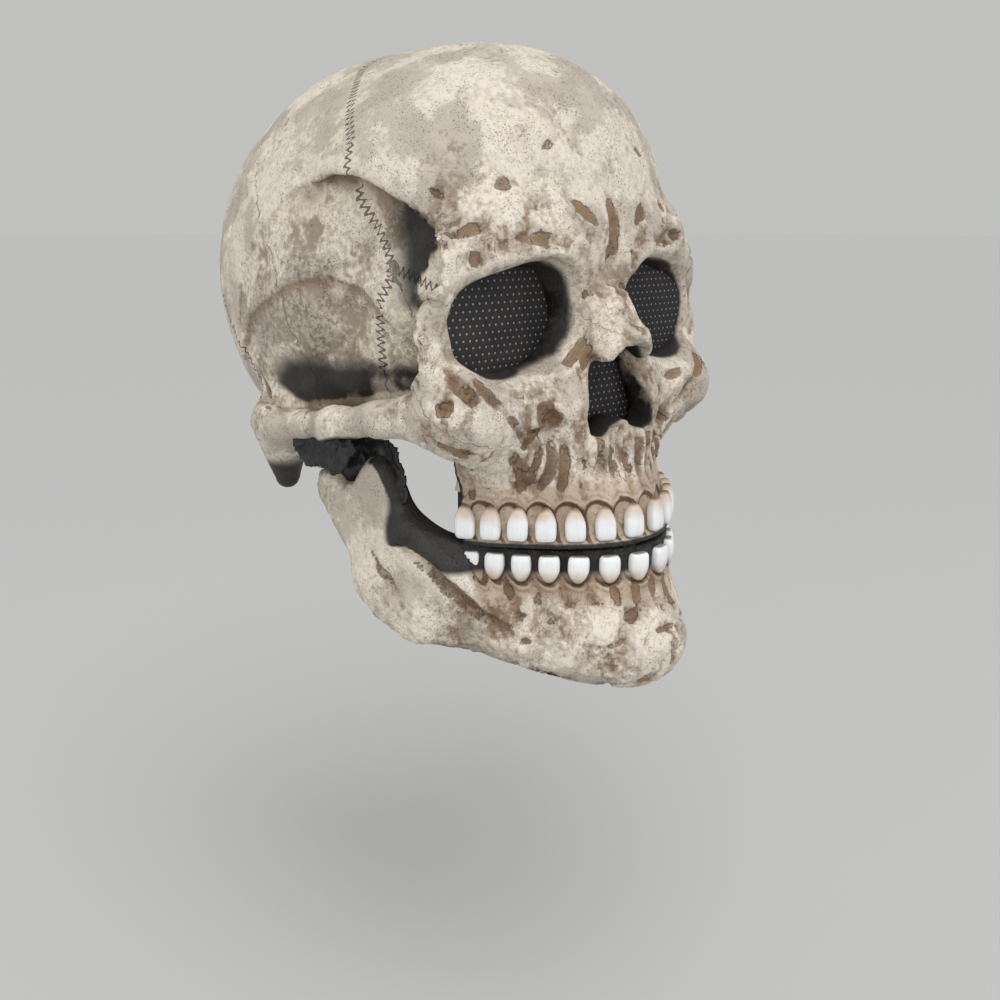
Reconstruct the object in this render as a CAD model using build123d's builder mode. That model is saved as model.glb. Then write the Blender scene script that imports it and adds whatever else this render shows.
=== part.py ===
"""Full-head latex skull mask with a moving lower jaw, in millimetres.

Frame: +Z up, the face looks along -Y, +X is the wearer's left. The origin is the centre of the crown
pad's flat underside, where the crown of the wearer's head bears.
"""

import math
import os

from build123d import *

# --- Driving dimensions ---------------------------------------------------------------------------
wall = 3.0  # latex thickness of both shells
skull_half_width = 91.0
skull_mid_y = 1.0
skull_front = 110.0  # from the middle to the brow
skull_back = 110.0  # from the middle to the back of the head
drawn_half_width = 91.0  # the half outlines are drawn at this width and this length of back,
drawn_back = 110.0  # and stretched to the sizes above
dome_base_z = -60.0  # level where the braincase is widest
crown_pad_thickness = 12.0
crown_pad_radius = 45.0
dome_height = crown_pad_thickness + wall - dome_base_z
dome_latitudes = (84, 66, 44, 22)
dome_bearings = (0, 23, 48, 71, 90, 117, 147, 180)
seam_point = 4  # the half outlines' point at the side of the head, where every outline starts
cavity_below = -205.0  # the cavity runs past the lowest edge of the skull shell

upper_lip_z = -188.7  # lowest edge of the upper gum
bite_gap = 0.6  # free space between the closed gums
lower_lip_z = upper_lip_z - bite_gap
chin_z = -254.0

arch_front_y = -132.0  # outer face of the upper gum in the middle
arch_spread = 70.6  # the upper gum in plan: y = front + x * x / spread
lower_arch_front_y = -134.0
lower_arch_spread = 59.5
teeth_a_side = 7
first_tooth_x = 5.2
tooth_pitch = 10.4  # along the row
tooth_width = 8.8
tooth_corner = 0.42  # corner radius, as a share of the tooth's width
upper_tooth_height = 14.0
lower_tooth_height = 12.0
tooth_depth = 3.2
tooth_proud = 1.0
tooth_margin = 2.7  # gum below the upper teeth and above the lower teeth
row_step = 0.05  # step of the walk along a tooth row

socket_centre_x, socket_centre_z = 45.5, -97.5
socket_half_width, socket_half_height = 31.0, 22.5
socket_tilt = 14.0
socket_collar_back_y = -88.0
nose_collar_back_y = -101.0
nasal_bones_half_width = 11.0
tunnel_front_y = -160.0  # in front of the whole face
screen_thickness = 0.8
screen_lap = 2.0  # how far a screen reaches past its opening

pad_thickness = 10.0  # of the foam at the side of the head
head_half_width = skull_half_width - wall - pad_thickness  # the head that the foam pads bear on
head_half_length = (skull_front + skull_back) / 2 - wall - pad_thickness
forehead_pad_half = 42.0
occiput_pad_half = 34.0

band_width = 20.0
band_thickness = 1.2
band_bend = 24.0
band_top_z = -92.0
band_back_y = skull_mid_y + skull_back - 18
band_end_x = skull_half_width - wall - 6
band_corner_x = skull_half_width - wall - 13
patch_size = 26.0
slider_clearance = 0.4
slider_bar = 2.4
slider_wall = 1.4
slider_length = 16.0

hinge_y, hinge_z = -16.0, -158.0  # axis of the two press studs, along X
flap_outer_x = skull_half_width - 15  # outer face of the jaw where its flap carries the stud
flap_inner_x = flap_outer_x - wall
seat_depth = 3.0
tab_inner_x = flap_outer_x + 3.0  # inner face of the skull's hinge tab
tab_thickness = 2.0
tab_width = 26.0
tab_top_z, tab_fold_z, tab_bottom_z = -128.0, -140.0, -170.0
snap_radius = 6.0
seat_radius = snap_radius + 3.0  # the flap is flat this far round the stud
snap_cap = 1.2
snap_shank_radius = 1.5
stud_radius = 2.4
stud_base = 0.8
stud_clearance = 0.05
snap_gap = 0.3  # free space between stud and socket along the axis

chin_pad_half_width = 24.0
chin_pad_face_y = -122.0
chin_pad_bottom_z, chin_pad_top_z = -246.0, -206.0
strap_width = 18.0
strap_thickness = 1.5
strap_bend = 10.0
strap_y = -80.0
anchor_x = skull_half_width - 39  # inner face of the latex patches that hold the strap and the elastics
anchor_bottom_z, anchor_top_z = -228.0, -198.0
upper_anchor_y = -86.0
upper_anchor_bottom_z, upper_anchor_top_z = -178.0, -158.0
elastic_y = -77.0
elastic_width = 9.0
elastic_thickness = 1.2
elastic_gap = 0.3
elastic_bottom_z = -207.0

os.makedirs("parts", exist_ok=True)


def save(piece, name):
    """Labels a finished piece and writes it as its own STEP file."""
    piece.label = name
    export_step(piece, f"parts/{name}.step")
    print(name, round(piece.volume), "mm3")


def whole_outline(half):
    """Closed points from a half outline given front to back on +X, starting at its side."""
    mirrored = [(-x, y) for x, y in half[-2:0:-1]]
    points = half + mirrored
    return points[seam_point:] + points[:seam_point]


def inset(points, amount):
    """Closed, counter-clockwise points moved inwards, square to the line through their neighbours."""
    moved = []
    for i, (x, y) in enumerate(points):
        ahead_x, ahead_y = points[(i + 1) % len(points)]
        behind_x, behind_y = points[i - 1]
        run_x, run_y = ahead_x - behind_x, ahead_y - behind_y
        length = math.hypot(run_x, run_y)
        moved.append((x - run_y / length * amount, y + run_x / length * amount))
    return moved


def lofted(levels):
    """One solid through horizontal outlines, each (z, closed points)."""
    with BuildPart() as body:
        for z, points in levels:
            with BuildSketch(Plane.XY.offset(z)):
                with BuildLine():
                    Spline(*points, periodic=True)
                make_face()
        loft(ruled=True)
    return body.part


def dome_levels(amount):
    """Outlines of the upper half of the braincase, set in all over by amount."""
    levels = []
    for latitude in dome_latitudes:
        level = math.radians(latitude)
        half = []
        for bearing in dome_bearings:
            turn = math.radians(bearing)
            x = (skull_half_width - amount) * math.cos(level) * math.sin(turn)
            reach = skull_front if bearing <= 90 else skull_back
            y = skull_mid_y - (reach - amount) * math.cos(level) * math.cos(turn)
            half.append((x, y))
        levels.append((dome_base_z + (dome_height - amount) * math.sin(level), whole_outline(half)))
    return levels


def stretched(half):
    """A hand-drawn half outline at the mask's own width and length of back."""
    points = []
    for x, y in half:
        behind = max(y - skull_mid_y, 0) * (skull_back / drawn_back - 1)
        points.append((x * skull_half_width / drawn_half_width, y + behind))
    return points


def wall_levels(levels, amount):
    """Hand-drawn half outlines stretched, made whole and set in by amount."""
    return [(z, inset(whole_outline(stretched(half)), amount)) for z, half in levels]


# --- Skull shell ----------------------------------------------------------------------------------
# Half outlines of the skull from the brow down to the gum, front to back.
skull_levels = [
    (dome_base_z, [(0, -109), (36, -101), (68, -76), (86, -36), (91, 3), (81, 53), (50, 94), (0, 111)]),
    (-75.0, [(0, -112), (38, -108), (70, -92), (86, -50), (91, 0), (81, 54), (49, 95), (0, 111)]),
    (-98.0, [(0, -106), (38, -105), (76, -98), (90, -58), (90, 0), (80, 55), (48, 94), (0, 109)]),
    (-122.0, [(0, -112), (36, -110), (78, -100), (91, -60), (89, 0), (77, 53), (46, 90), (0, 104)]),
    (-145.0, [(0, -121), (35, -114), (74, -95), (90, -56), (88, 0), (74, 50), (44, 84), (0, 97)]),
    (-162.0, [(0, -125), (32, -112), (60, -82), (67, -55), (84, 2), (71, 46), (41, 78), (0, 90)]),
    (upper_lip_z, [(0, -132), (32, -117), (56, -84), (59, -60), (76, 5), (67, 43), (38, 73), (0, 84)]),
]
nape_outline = skull_levels[-1][1]

skull_outside = lofted(dome_levels(0) + wall_levels(skull_levels, 0))
skull_cavity = lofted(
    dome_levels(wall) + wall_levels(skull_levels, wall) + wall_levels([(cavity_below, nape_outline)], wall)
)

# Side outline, as (y, z), of what is open below the cheek bone and behind the upper jaw: the gap beside
# the lower jaw, the notch in front of the mastoid tip, and the rear edge at the nape.
far_back = skull_mid_y + skull_back + wall
open_side = [
    (-70, -230), (-70, -188), (-76, -160), (-72, -147), (-55, -142), (-30, -147), (-12, -150),
    (-1, -161), (23, -183), (30, -183), (48, -172), (far_back, -164), (far_back, -230),
]  # fmt: skip

# Half outline, as (x, z), of the nasal opening, from its top round to the spine in its floor.
nose_half = [(0, -109), (9, -115), (17, -131), (17, -141), (10, -145), (3, -141), (0, -139.5)]

# Side outline, as (y, z), of the nasal bones that stand out over the nasal opening.
nasal_bones = [(-100, -84), (-130, -108), (-128, -112), (-96, -98)]


def facing(y):
    """A plane square to Y whose own axes are X and Z of the mask, with its normal along -Y."""
    return Plane(origin=(0, y, 0), x_dir=(1, 0, 0), z_dir=(0, -1, 0))


def socket_outlines(grow, sides=(1, -1)):
    """The outlines of the eye sockets, grown."""
    with BuildSketch() as outlines:
        for side in sides:
            with Locations((side * socket_centre_x, socket_centre_z)):
                Ellipse(socket_half_width + grow, socket_half_height + grow, rotation=-side * socket_tilt)
    return outlines.sketch


def nose_outline(grow):
    """The outline of the nasal opening, grown."""
    with BuildSketch() as outline:
        with BuildLine():
            Polyline(*nose_half, *[(-x, z) for x, z in nose_half[-2:0:-1]], close=True)
        make_face()
        if grow:
            offset(amount=grow, kind=Kind.INTERSECTION)
    return outline.sketch


def tunnels(grow):
    """Straight blocks through the face along every opening, back to where its screen sits."""
    with BuildPart() as blocks:
        with BuildSketch(facing(socket_collar_back_y)):
            add(socket_outlines(grow))
        extrude(amount=socket_collar_back_y - tunnel_front_y)
        with BuildSketch(facing(nose_collar_back_y)):
            add(nose_outline(grow))
        extrude(amount=nose_collar_back_y - tunnel_front_y)
    return blocks.part


def row_point(front_y, spread, distance):
    """Point and outward direction on a tooth row y = front + x * x / spread, distance from its middle."""
    x = 0.0
    run = 0.0
    while run < distance:
        run += math.hypot(row_step, 2 * x / spread * row_step)
        x += row_step
    slope = 2 * x / spread
    length = math.hypot(1, slope)
    return x, front_y + x * x / spread, slope / length, -1 / length


def tooth_row(front_y, spread, edge_z, height):
    """Both sides' teeth of one jaw, each a rounded block square to the row; height runs from the edge."""
    with BuildPart() as row:
        for i in range(teeth_a_side):
            x, y, out_x, out_y = row_point(front_y, spread, first_tooth_x + i * tooth_pitch)
            face = Plane(
                origin=(x + out_x * tooth_proud, y + out_y * tooth_proud, edge_z + height / 2),
                x_dir=(out_y, -out_x, 0),
                z_dir=(-out_x, -out_y, 0),
            )
            with BuildSketch(face):
                RectangleRounded(tooth_width, abs(height), tooth_width * tooth_corner)
            extrude(amount=tooth_depth)
        mirror(about=Plane.YZ)
    return row.part


with BuildPart() as skull_hollow:
    add(skull_cavity)
    add(tunnels(wall), mode=Mode.SUBTRACT)

with BuildPart() as skull_shell:
    add(skull_outside)
    with BuildSketch(Plane.YZ):
        with BuildLine():
            Polyline(*nasal_bones, close=True)
        make_face()
    extrude(amount=nasal_bones_half_width, both=True)
    add(skull_hollow.part, mode=Mode.SUBTRACT)
    add(tunnels(0), mode=Mode.SUBTRACT)
    with BuildSketch(Plane.YZ):
        with BuildLine():
            Polyline(*open_side, close=True)
        make_face()
    extrude(amount=skull_half_width + wall, both=True, mode=Mode.SUBTRACT)
    add(tooth_row(arch_front_y, arch_spread, upper_lip_z + tooth_margin, upper_tooth_height))
save(skull_shell.part, "skull_shell")


# --- Screens behind the openings ------------------------------------------------------------------
for side, hand in ((-1, "right"), (1, "left")):
    with BuildPart() as eye_screen:
        with BuildSketch(facing(socket_collar_back_y)):
            add(socket_outlines(screen_lap, sides=(side,)))
        extrude(amount=-screen_thickness)
    save(eye_screen.part, f"eye_screen_{hand}")

with BuildPart() as nose_screen:
    with BuildSketch(facing(nose_collar_back_y)):
        add(nose_outline(screen_lap))
    extrude(amount=-screen_thickness)
save(nose_screen.part, "nose_screen")


# --- Foam pads between the shell and the head -----------------------------------------------------
with BuildPart() as head_room:
    with BuildSketch(Plane.XY.offset(cavity_below)):
        with Locations((0, skull_mid_y + (skull_back - skull_front) / 2)):
            Ellipse(head_half_width, head_half_length)
    extrude(amount=-cavity_below)


def pad(low, high):
    """Foam between the head and the shell, within the block from low to high."""
    centre = tuple((a + b) / 2 for a, b in zip(low, high))
    with BuildPart() as foam:
        with Locations(centre):
            Box(*[b - a for a, b in zip(low, high)])
        add(head_room.part, mode=Mode.SUBTRACT)
        add(skull_cavity, mode=Mode.INTERSECT)
    return foam.part


rim = skull_back + skull_half_width  # beyond the shell on every side
save(pad((-forehead_pad_half, -rim, -52), (forehead_pad_half, 0, -24)), "forehead_pad")
save(pad((-occiput_pad_half, 0, -82), (occiput_pad_half, rim, -52)), "occiput_pad")
save(pad((-rim, -18, -74), (0, 24, -44)), "temple_pad_right")
save(pad((0, -18, -74), (rim, 24, -44)), "temple_pad_left")

with BuildPart() as crown_pad:
    Cylinder(crown_pad_radius, dome_height, align=(Align.CENTER, Align.CENTER, Align.MIN))
    add(skull_cavity, mode=Mode.INTERSECT)
save(crown_pad.part, "crown_pad")


# --- Headband and its slider ----------------------------------------------------------------------
# Plan of the band, from the right end round the back of the head to the left end.
band_side = [(band_end_x, -16), (band_corner_x, 45), (36, band_back_y)]
band_route = [(-x, y) for x, y in band_side] + band_side[::-1]

with BuildPart() as headband:
    with BuildSketch(Plane.XY.offset(band_top_z - band_width)):
        with BuildLine():
            FilletPolyline(*band_route, radius=band_bend)
        trace(line_width=band_thickness)
    extrude(amount=band_width)
save(headband.part, "headband")

for side, hand in ((-1, "right"), (1, "left")):
    end_x, end_y = band_side[0]
    inner_x = end_x + band_thickness
    with BuildPart() as patch:
        with Locations((side * (inner_x + wall), end_y + patch_size / 2 - 4, band_top_z - band_width / 2)):
            Box(2 * wall, patch_size, patch_size)
        add(skull_cavity, mode=Mode.INTERSECT)
    save(patch.part, f"headband_patch_{hand}")

slot_thickness = band_thickness + 2 * slider_clearance
slot_width = band_width + 2 * slider_clearance
with BuildPart() as headband_slider:
    with Locations((0, band_back_y, band_top_z - band_width / 2)):
        Box(slider_length, slot_thickness + 2 * slider_wall, slot_width + 2 * slider_bar)
        Box(slider_length, slot_thickness, slot_width, mode=Mode.SUBTRACT)
        with Locations((slider_length / 4, 0), (-slider_length / 4, 0)):
            window = slider_length / 2 - slider_bar
            Box(window, slot_thickness + 3 * slider_wall, slot_width - slider_bar, mode=Mode.SUBTRACT)
save(headband_slider.part, "headband_slider")


# --- Jaw shell ------------------------------------------------------------------------------------
# Half outlines of the lower jaw, from the top of its hinge flap down to the chin, front to back.
flap_top_z = -146.0
gum_foot_z = -206.0
jaw_levels = [
    (flap_top_z, [(0, -134), (30, -119), (60, -86), (75, -50), (76, -16), (66, 26), (34, 58), (0, 66)]),
    (lower_lip_z, [(0, -134), (28, -121), (53, -88), (72, -54), (76, -18), (68, 22), (38, 50), (0, 60)]),
    (gum_foot_z, [(0, -134), (28, -121), (53, -90), (71, -62), (76, -26), (68, 20), (38, 49), (0, 59)]),
    (-215.0, [(0, -141), (26, -129), (52, -98), (71, -66), (76, -30), (68, 16), (38, 48), (0, 58)]),
    (-235.0, [(0, -145), (24, -135), (47, -108), (66, -78), (74, -42), (66, 12), (36, 45), (0, 55)]),
    (chin_z, [(0, -136), (18, -129), (34, -112), (52, -85), (66, -48), (60, 10), (34, 42), (0, 52)]),
]

# Side outline of the jaw, as (y, z): hinge flap, rear edge, angle, lower border, chin, gum and ramus.
jaw_side = [
    (-26, -148), (-6, -148), (-1, -157), (-5, -170), (-21, -193), (-37, -218), (-51, -227),
    (-76, -233), (-89, -238), (-105, -247), (-114, chin_z), (-152, chin_z), (-152, lower_lip_z),
    (-76, lower_lip_z), (-69, -178), (-60, -160), (-52, -149),
]  # fmt: skip

jaw_outside = lofted(wall_levels(jaw_levels, 0))
jaw_cavity = lofted(wall_levels(jaw_levels, wall))


def along_x(x, y, z):
    """A plane square to X, seen from the mask's left, with its normal along +X."""
    return Plane(origin=(x, y, z), x_dir=(0, 1, 0), z_dir=(1, 0, 0))


def snap_holes(radius):
    """The two bores along the hinge axis."""
    with BuildPart() as bores:
        with BuildSketch(along_x(0, hinge_y, hinge_z)):
            Circle(radius)
        extrude(amount=skull_half_width, both=True)
    return bores.part


def disc_along_x(side, start, end, radius):
    """A round piece on the hinge axis, from start to end outwards from the middle."""
    with BuildPart() as disc:
        with BuildSketch(along_x(side * start, hinge_y, hinge_z)):
            Circle(radius)
        extrude(amount=side * (end - start))
    return disc.part


with BuildPart() as jaw_shell:
    with BuildSketch(Plane.YZ):
        with BuildLine():
            Polyline(*jaw_side, close=True)
        make_face()
    extrude(amount=skull_half_width, both=True)
    add(jaw_outside, mode=Mode.INTERSECT)
    add(jaw_cavity, mode=Mode.SUBTRACT)
    for side in (1, -1):
        add(disc_along_x(side, flap_inner_x, flap_outer_x, seat_radius))
        add(disc_along_x(side, flap_inner_x - seat_depth, flap_inner_x, seat_radius), mode=Mode.SUBTRACT)
        add(disc_along_x(side, flap_outer_x, flap_outer_x + seat_depth, seat_radius), mode=Mode.SUBTRACT)
    add(snap_holes(snap_shank_radius), mode=Mode.SUBTRACT)
    lower_edge_z = lower_lip_z - tooth_margin
    add(tooth_row(lower_arch_front_y, lower_arch_spread, lower_edge_z, -lower_tooth_height))
save(jaw_shell.part, "jaw_shell")


# --- Hinge: a tab in the skull with a socket, and a stud on the jaw's flap, on each side ----------
tab_outer_x = tab_inner_x + tab_thickness
stud_face_x = flap_outer_x + stud_base
socket_face_x = stud_face_x + snap_gap

for side, hand in ((-1, "right"), (1, "left")):
    with BuildPart() as hinge_tab:
        with Locations((side * (tab_inner_x + rim / 2), hinge_y, (tab_top_z + tab_fold_z) / 2)):
            Box(rim, tab_width, tab_top_z - tab_fold_z)
        add(skull_cavity, mode=Mode.INTERSECT)
        with Locations((side * (tab_inner_x + tab_outer_x) / 2, hinge_y, (tab_fold_z + tab_bottom_z) / 2)):
            Box(tab_thickness, tab_width, tab_fold_z - tab_bottom_z)
        add(snap_holes(snap_shank_radius), mode=Mode.SUBTRACT)
    save(hinge_tab.part, f"hinge_tab_{hand}")

    with BuildPart() as snap_socket:
        add(disc_along_x(side, socket_face_x, tab_inner_x, snap_radius))
        add(snap_holes(stud_radius + stud_clearance), mode=Mode.SUBTRACT)
        add(disc_along_x(side, tab_inner_x, tab_outer_x, snap_shank_radius))
        add(disc_along_x(side, tab_outer_x, tab_outer_x + snap_cap, snap_radius))
    save(snap_socket.part, f"snap_socket_{hand}")

    with BuildPart() as snap_stud:
        add(disc_along_x(side, flap_inner_x - snap_cap, flap_inner_x, snap_radius))
        add(disc_along_x(side, flap_inner_x, flap_outer_x, snap_shank_radius))
        add(disc_along_x(side, flap_outer_x, stud_face_x, snap_radius))
        add(disc_along_x(side, stud_face_x, tab_inner_x - snap_gap, stud_radius))
    save(snap_stud.part, f"snap_stud_{hand}")


# --- Chin pad and chin strap ----------------------------------------------------------------------
with BuildPart() as chin_pad:
    with Locations((0, chin_pad_face_y - rim / 2, (chin_pad_bottom_z + chin_pad_top_z) / 2)):
        Box(2 * chin_pad_half_width, rim, chin_pad_top_z - chin_pad_bottom_z)
    add(jaw_cavity, mode=Mode.INTERSECT)
save(chin_pad.part, "chin_pad")

# The strap hangs like a sling from one side of the jaw to the other, under the wearer's chin.
strap_x = anchor_x - strap_thickness / 2
strap_side = [(strap_x, -208), (strap_x, -216), (31, -229)]
strap_route = [(-x, z) for x, z in strap_side] + strap_side[::-1]
with BuildPart() as chin_strap:
    with BuildSketch(facing(strap_y)):
        with BuildLine():
            FilletPolyline(*strap_route, radius=strap_bend)
        trace(line_width=strap_thickness)
    extrude(amount=strap_width / 2, both=True)
save(chin_strap.part, "chin_strap")


# --- Jaw elastics and the patches that hold them --------------------------------------------------
def anchor(side, y, low_z, high_z, hollow):
    """A latex patch between the inner face at anchor_x and the shell's own wall."""
    with BuildPart() as patch:
        with Locations((side * (anchor_x + rim / 2), y, (low_z + high_z) / 2)):
            Box(rim, strap_width, high_z - low_z)
        add(hollow, mode=Mode.INTERSECT)
    return patch.part


for side, hand in ((-1, "right"), (1, "left")):
    lower_patch = anchor(side, strap_y, anchor_bottom_z, anchor_top_z, jaw_cavity)
    save(lower_patch, f"chin_strap_patch_{hand}")
    upper_patch = anchor(side, upper_anchor_y, upper_anchor_bottom_z, upper_anchor_top_z, skull_cavity)
    save(upper_patch, f"jaw_elastic_patch_{hand}")
    elastic_x = anchor_x - elastic_gap - elastic_thickness / 2
    with BuildPart() as jaw_elastic:
        with Locations((side * elastic_x, elastic_y, (elastic_bottom_z + upper_anchor_top_z) / 2)):
            Box(elastic_thickness, elastic_width, upper_anchor_top_z - elastic_bottom_z)
    save(jaw_elastic.part, f"jaw_elastic_{hand}")
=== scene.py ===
# %% [markdown]
# # A latex skull mask with a lower jaw that moves
# The mask is two castings of 3 mm latex, a skull and a jaw, painted as old bone. Foam pads, a headband and a
# chin strap carry it on the head. The frame holds the sizes and the joints, and this file makes the looks.

# %% Start from the frame
import math
from collections import namedtuple

import bpy
import numpy as np
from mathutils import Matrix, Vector, noise


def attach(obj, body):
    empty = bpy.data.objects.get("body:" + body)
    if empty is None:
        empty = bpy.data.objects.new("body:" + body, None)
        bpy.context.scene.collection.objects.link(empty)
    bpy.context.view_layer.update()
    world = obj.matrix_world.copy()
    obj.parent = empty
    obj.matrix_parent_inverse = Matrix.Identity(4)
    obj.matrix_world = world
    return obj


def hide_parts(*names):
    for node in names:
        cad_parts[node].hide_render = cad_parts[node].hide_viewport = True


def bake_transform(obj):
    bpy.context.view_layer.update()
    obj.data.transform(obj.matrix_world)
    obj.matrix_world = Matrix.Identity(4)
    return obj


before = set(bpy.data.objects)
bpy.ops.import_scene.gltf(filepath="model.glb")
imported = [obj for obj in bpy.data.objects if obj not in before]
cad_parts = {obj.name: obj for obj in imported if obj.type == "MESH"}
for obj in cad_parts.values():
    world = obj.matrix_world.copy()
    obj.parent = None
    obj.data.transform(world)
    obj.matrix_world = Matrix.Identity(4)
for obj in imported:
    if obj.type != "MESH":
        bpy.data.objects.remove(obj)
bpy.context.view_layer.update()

MM = 0.001  # the forms below are worked in millimetres, and the finished pieces are in metres
wall = 3.0
turn_in = 9  # how deep the gum and the jaw's border turn in
bpy.ops.object.select_all(action="DESELECT")

# %% [markdown]
# ## Camera, floor and light
# The camera stands close in front of the wearer's right cheek, a little above the eyes, so that the face and
# the side both show. Large soft lamps on both sides keep the shadows open, and the floor lies far below,
# because a head would hold the mask up.

# %% Camera
camera_tilt, camera_turn = math.radians(75.5), math.radians(-43.9)
bpy.ops.object.camera_add(location=(-0.343, -0.400, -0.060), rotation=(camera_tilt, 0, camera_turn))
camera = bpy.context.object
camera.name = "camera"
camera.data.lens = 38.88
camera.data.sensor_width = 36
camera.data.clip_start = 0.01
bpy.context.scene.camera = camera

# %% Floor, lamps and room light
floor_level = -0.46
aim = np.array([0, 0, -0.1])  # the middle of the mask
bpy.ops.mesh.primitive_plane_add(size=60, location=(0, 0, floor_level))
floor = bpy.context.object
floor.name = "floor"
bpy.ops.object.transform_apply(location=True)


def lamp(name, place, size, power):
    """A soft square lamp that looks at the middle of the mask."""
    bpy.ops.object.light_add(type="AREA", location=place)
    light = bpy.context.object
    light.name = name
    light.data.size = size
    light.data.energy = power
    away = np.array(place) - aim
    light.rotation_euler = (math.atan2(math.hypot(away[0], away[1]), away[2]), 0,
                            math.atan2(away[1], away[0]) + math.pi / 2)


bpy.ops.object.light_add(type="SUN", rotation=(math.radians(32), 0, math.radians(-30)))
overhead = bpy.context.object
overhead.name = "lamp_above"
overhead.data.energy = 1.55
overhead.data.angle = math.radians(50)
lamp("lamp_cheek", (-1.3, -0.3, 0.2), 1.0, 3.5)
lamp("lamp_face", (0.5, -1.3, 0.1), 1.0, 3)
world = bpy.data.worlds.new("room")
world.use_nodes = True
sky = world.node_tree.nodes["Background"].inputs
sky["Color"].default_value = (0.83, 0.83, 0.82, 1)
sky["Strength"].default_value = 0.64
bpy.context.scene.world = world
bpy.context.scene.view_settings.view_transform = "Standard"
print("camera, floor and lamps are set")

# %% [markdown]
# ## A small language for materials
# A material is arithmetic on patterns, so one class wraps a socket and lets Python's own operators add the
# Math nodes. Every other node comes from one method.

# %% Shader maths


class Wire:
    """A socket that carries a number, with the usual operators."""

    def __init__(self, sheet, socket):
        self.sheet, self.socket = sheet, socket

    def _math(self, operation, *others):
        return self.sheet.node("Math", {"operation": operation}, dict(enumerate((self,) + others)))

    def __add__(self, other):
        return self._math("ADD", other)

    __radd__ = __add__

    def __mul__(self, other):
        return self._math("MULTIPLY", other)

    __rmul__ = __mul__

    def __sub__(self, other):
        return self._math("SUBTRACT", other)

    def __rsub__(self, other):
        return (self * -1) + other

    def most(self, other):
        return self._math("MAXIMUM", other)

    def size(self):
        return self._math("ABSOLUTE")

    def power(self, other):
        return self._math("POWER", other)

    def sine(self):
        return self._math("SINE")

    def whole(self):
        return self._math("FLOOR")

    def part(self):
        return self._math("FRACT")

    def step(self, low, high):
        """0 below low, 1 above high, and a soft step between them; high may be the lower one."""
        return self.sheet.node("MapRange", {"interpolation_type": "SMOOTHSTEP"},
                               {"Value": self, "From Min": low, "From Max": high})


class Finish:
    """One material being written."""

    def __init__(self, name):
        self.material = bpy.data.materials.new(name)
        self.material.use_nodes = True
        self.tree = self.material.node_tree
        self.shader = self.tree.nodes["Principled BSDF"]
        self.place = self.node("TexCoord", {}, {}, "Object")

    def put(self, socket, value):
        if isinstance(value, Wire):
            self.tree.links.new(value.socket, socket)
        elif isinstance(value, tuple) and len(value) == 3 and len(socket.default_value) == 4:
            socket.default_value = (*value, 1)
        else:
            socket.default_value = value

    def node(self, kind, settings, inputs, output=0):
        """Adds a node: its settings first, then the values or wires of its sockets."""
        made = self.tree.nodes.new("ShaderNode" + kind)
        for key, value in settings.items():
            setattr(made, key, value)
        for key, value in inputs.items():
            self.put(made.inputs[key], value)
        return Wire(self, made.outputs[output])

    def noise(self, scale, detail=4.0, roughness=0.55):
        return self.node("TexNoise", {}, {"Vector": self.place, "Scale": scale, "Detail": detail,
                                          "Roughness": roughness}, 0)

    def streaks(self, scale, detail):
        """Noise that is drawn out along the axes."""
        drawn = self.node("Mapping", {}, {"Vector": self.place, "Scale": scale})
        return self.node("TexNoise", {}, {"Vector": drawn, "Scale": 1.0, "Detail": detail}, 0)

    def axis(self, number):
        """The place along X, Y or Z, in metres."""
        return self.node("SeparateXYZ", {}, {0: self.place}, number)

    def mark(self, name):
        """A number painted on the piece's own vertices."""
        return self.node("Attribute", {"attribute_name": name}, {}, "Fac")

    def mix(self, amount, first, second):
        """Between two colours."""
        made = self.tree.nodes.new("ShaderNodeMix")
        made.data_type = "RGBA"
        self.put(made.inputs[0], amount)
        self.put(made.inputs[6], first)
        self.put(made.inputs[7], second)
        return Wire(self, made.outputs[2])

    def finish(self, colour, roughness, height=None, depth=0.0005, strength=1.0, constants=None):
        self.put(self.shader.inputs["Base Color"], colour)
        self.put(self.shader.inputs["Roughness"], roughness)
        for name, value in (constants or {}).items():
            self.put(self.shader.inputs[name], value)
        if height is not None:
            bump = self.node("Bump", {}, {"Strength": strength, "Distance": depth, "Height": height})
            self.put(self.shader.inputs["Normal"], bump)
        return self.material


paint = Finish("floor_paint")
floor.data.materials.append(paint.finish((0.53, 0.535, 0.53), 0.8))
print("the floor is painted")

# %% [markdown]
# ## Clay forms
# A skull has no straight stretch to extrude, so its form is built as a sculptor builds it: lumps of clay are
# pressed together, and hollows are pushed in. Each lump is a distance formula, negative inside, and two
# lumps are pressed together with a blend whose width is how far the clay is smoothed across the joint.

# %% Lumps, blends and cuts


def lump(p, centre, radii):
    """An egg of clay."""
    q = (p - np.array(centre)) / np.array(radii)
    reach = np.linalg.norm(q, axis=1)
    steep = np.linalg.norm(q / np.array(radii), axis=1)
    return reach * (reach - 1) / np.maximum(steep, 1e-9)


def roll(p, start, end, thick, thin=None):
    """A roll of clay between two points, from one radius to another."""
    thin = thick if thin is None else thin
    start, end = np.array(start, float), np.array(end, float)
    run = end - start
    along = np.clip((p - start) @ run / (run @ run), 0, 1)
    return np.linalg.norm(p - start - along[:, None] * run, axis=1) - (thick + (thin - thick) * along)


def press(a, b, width):
    """Two lumps as one, smoothed over this width."""
    near = np.maximum(width - np.abs(a - b), 0) / width
    return np.minimum(a, b) - near * near * width / 4


def cut(a, tool, width):
    """A lump with a tool's form taken out of it, its edge rounded over this width."""
    return -press(-a, tool, width)


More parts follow.
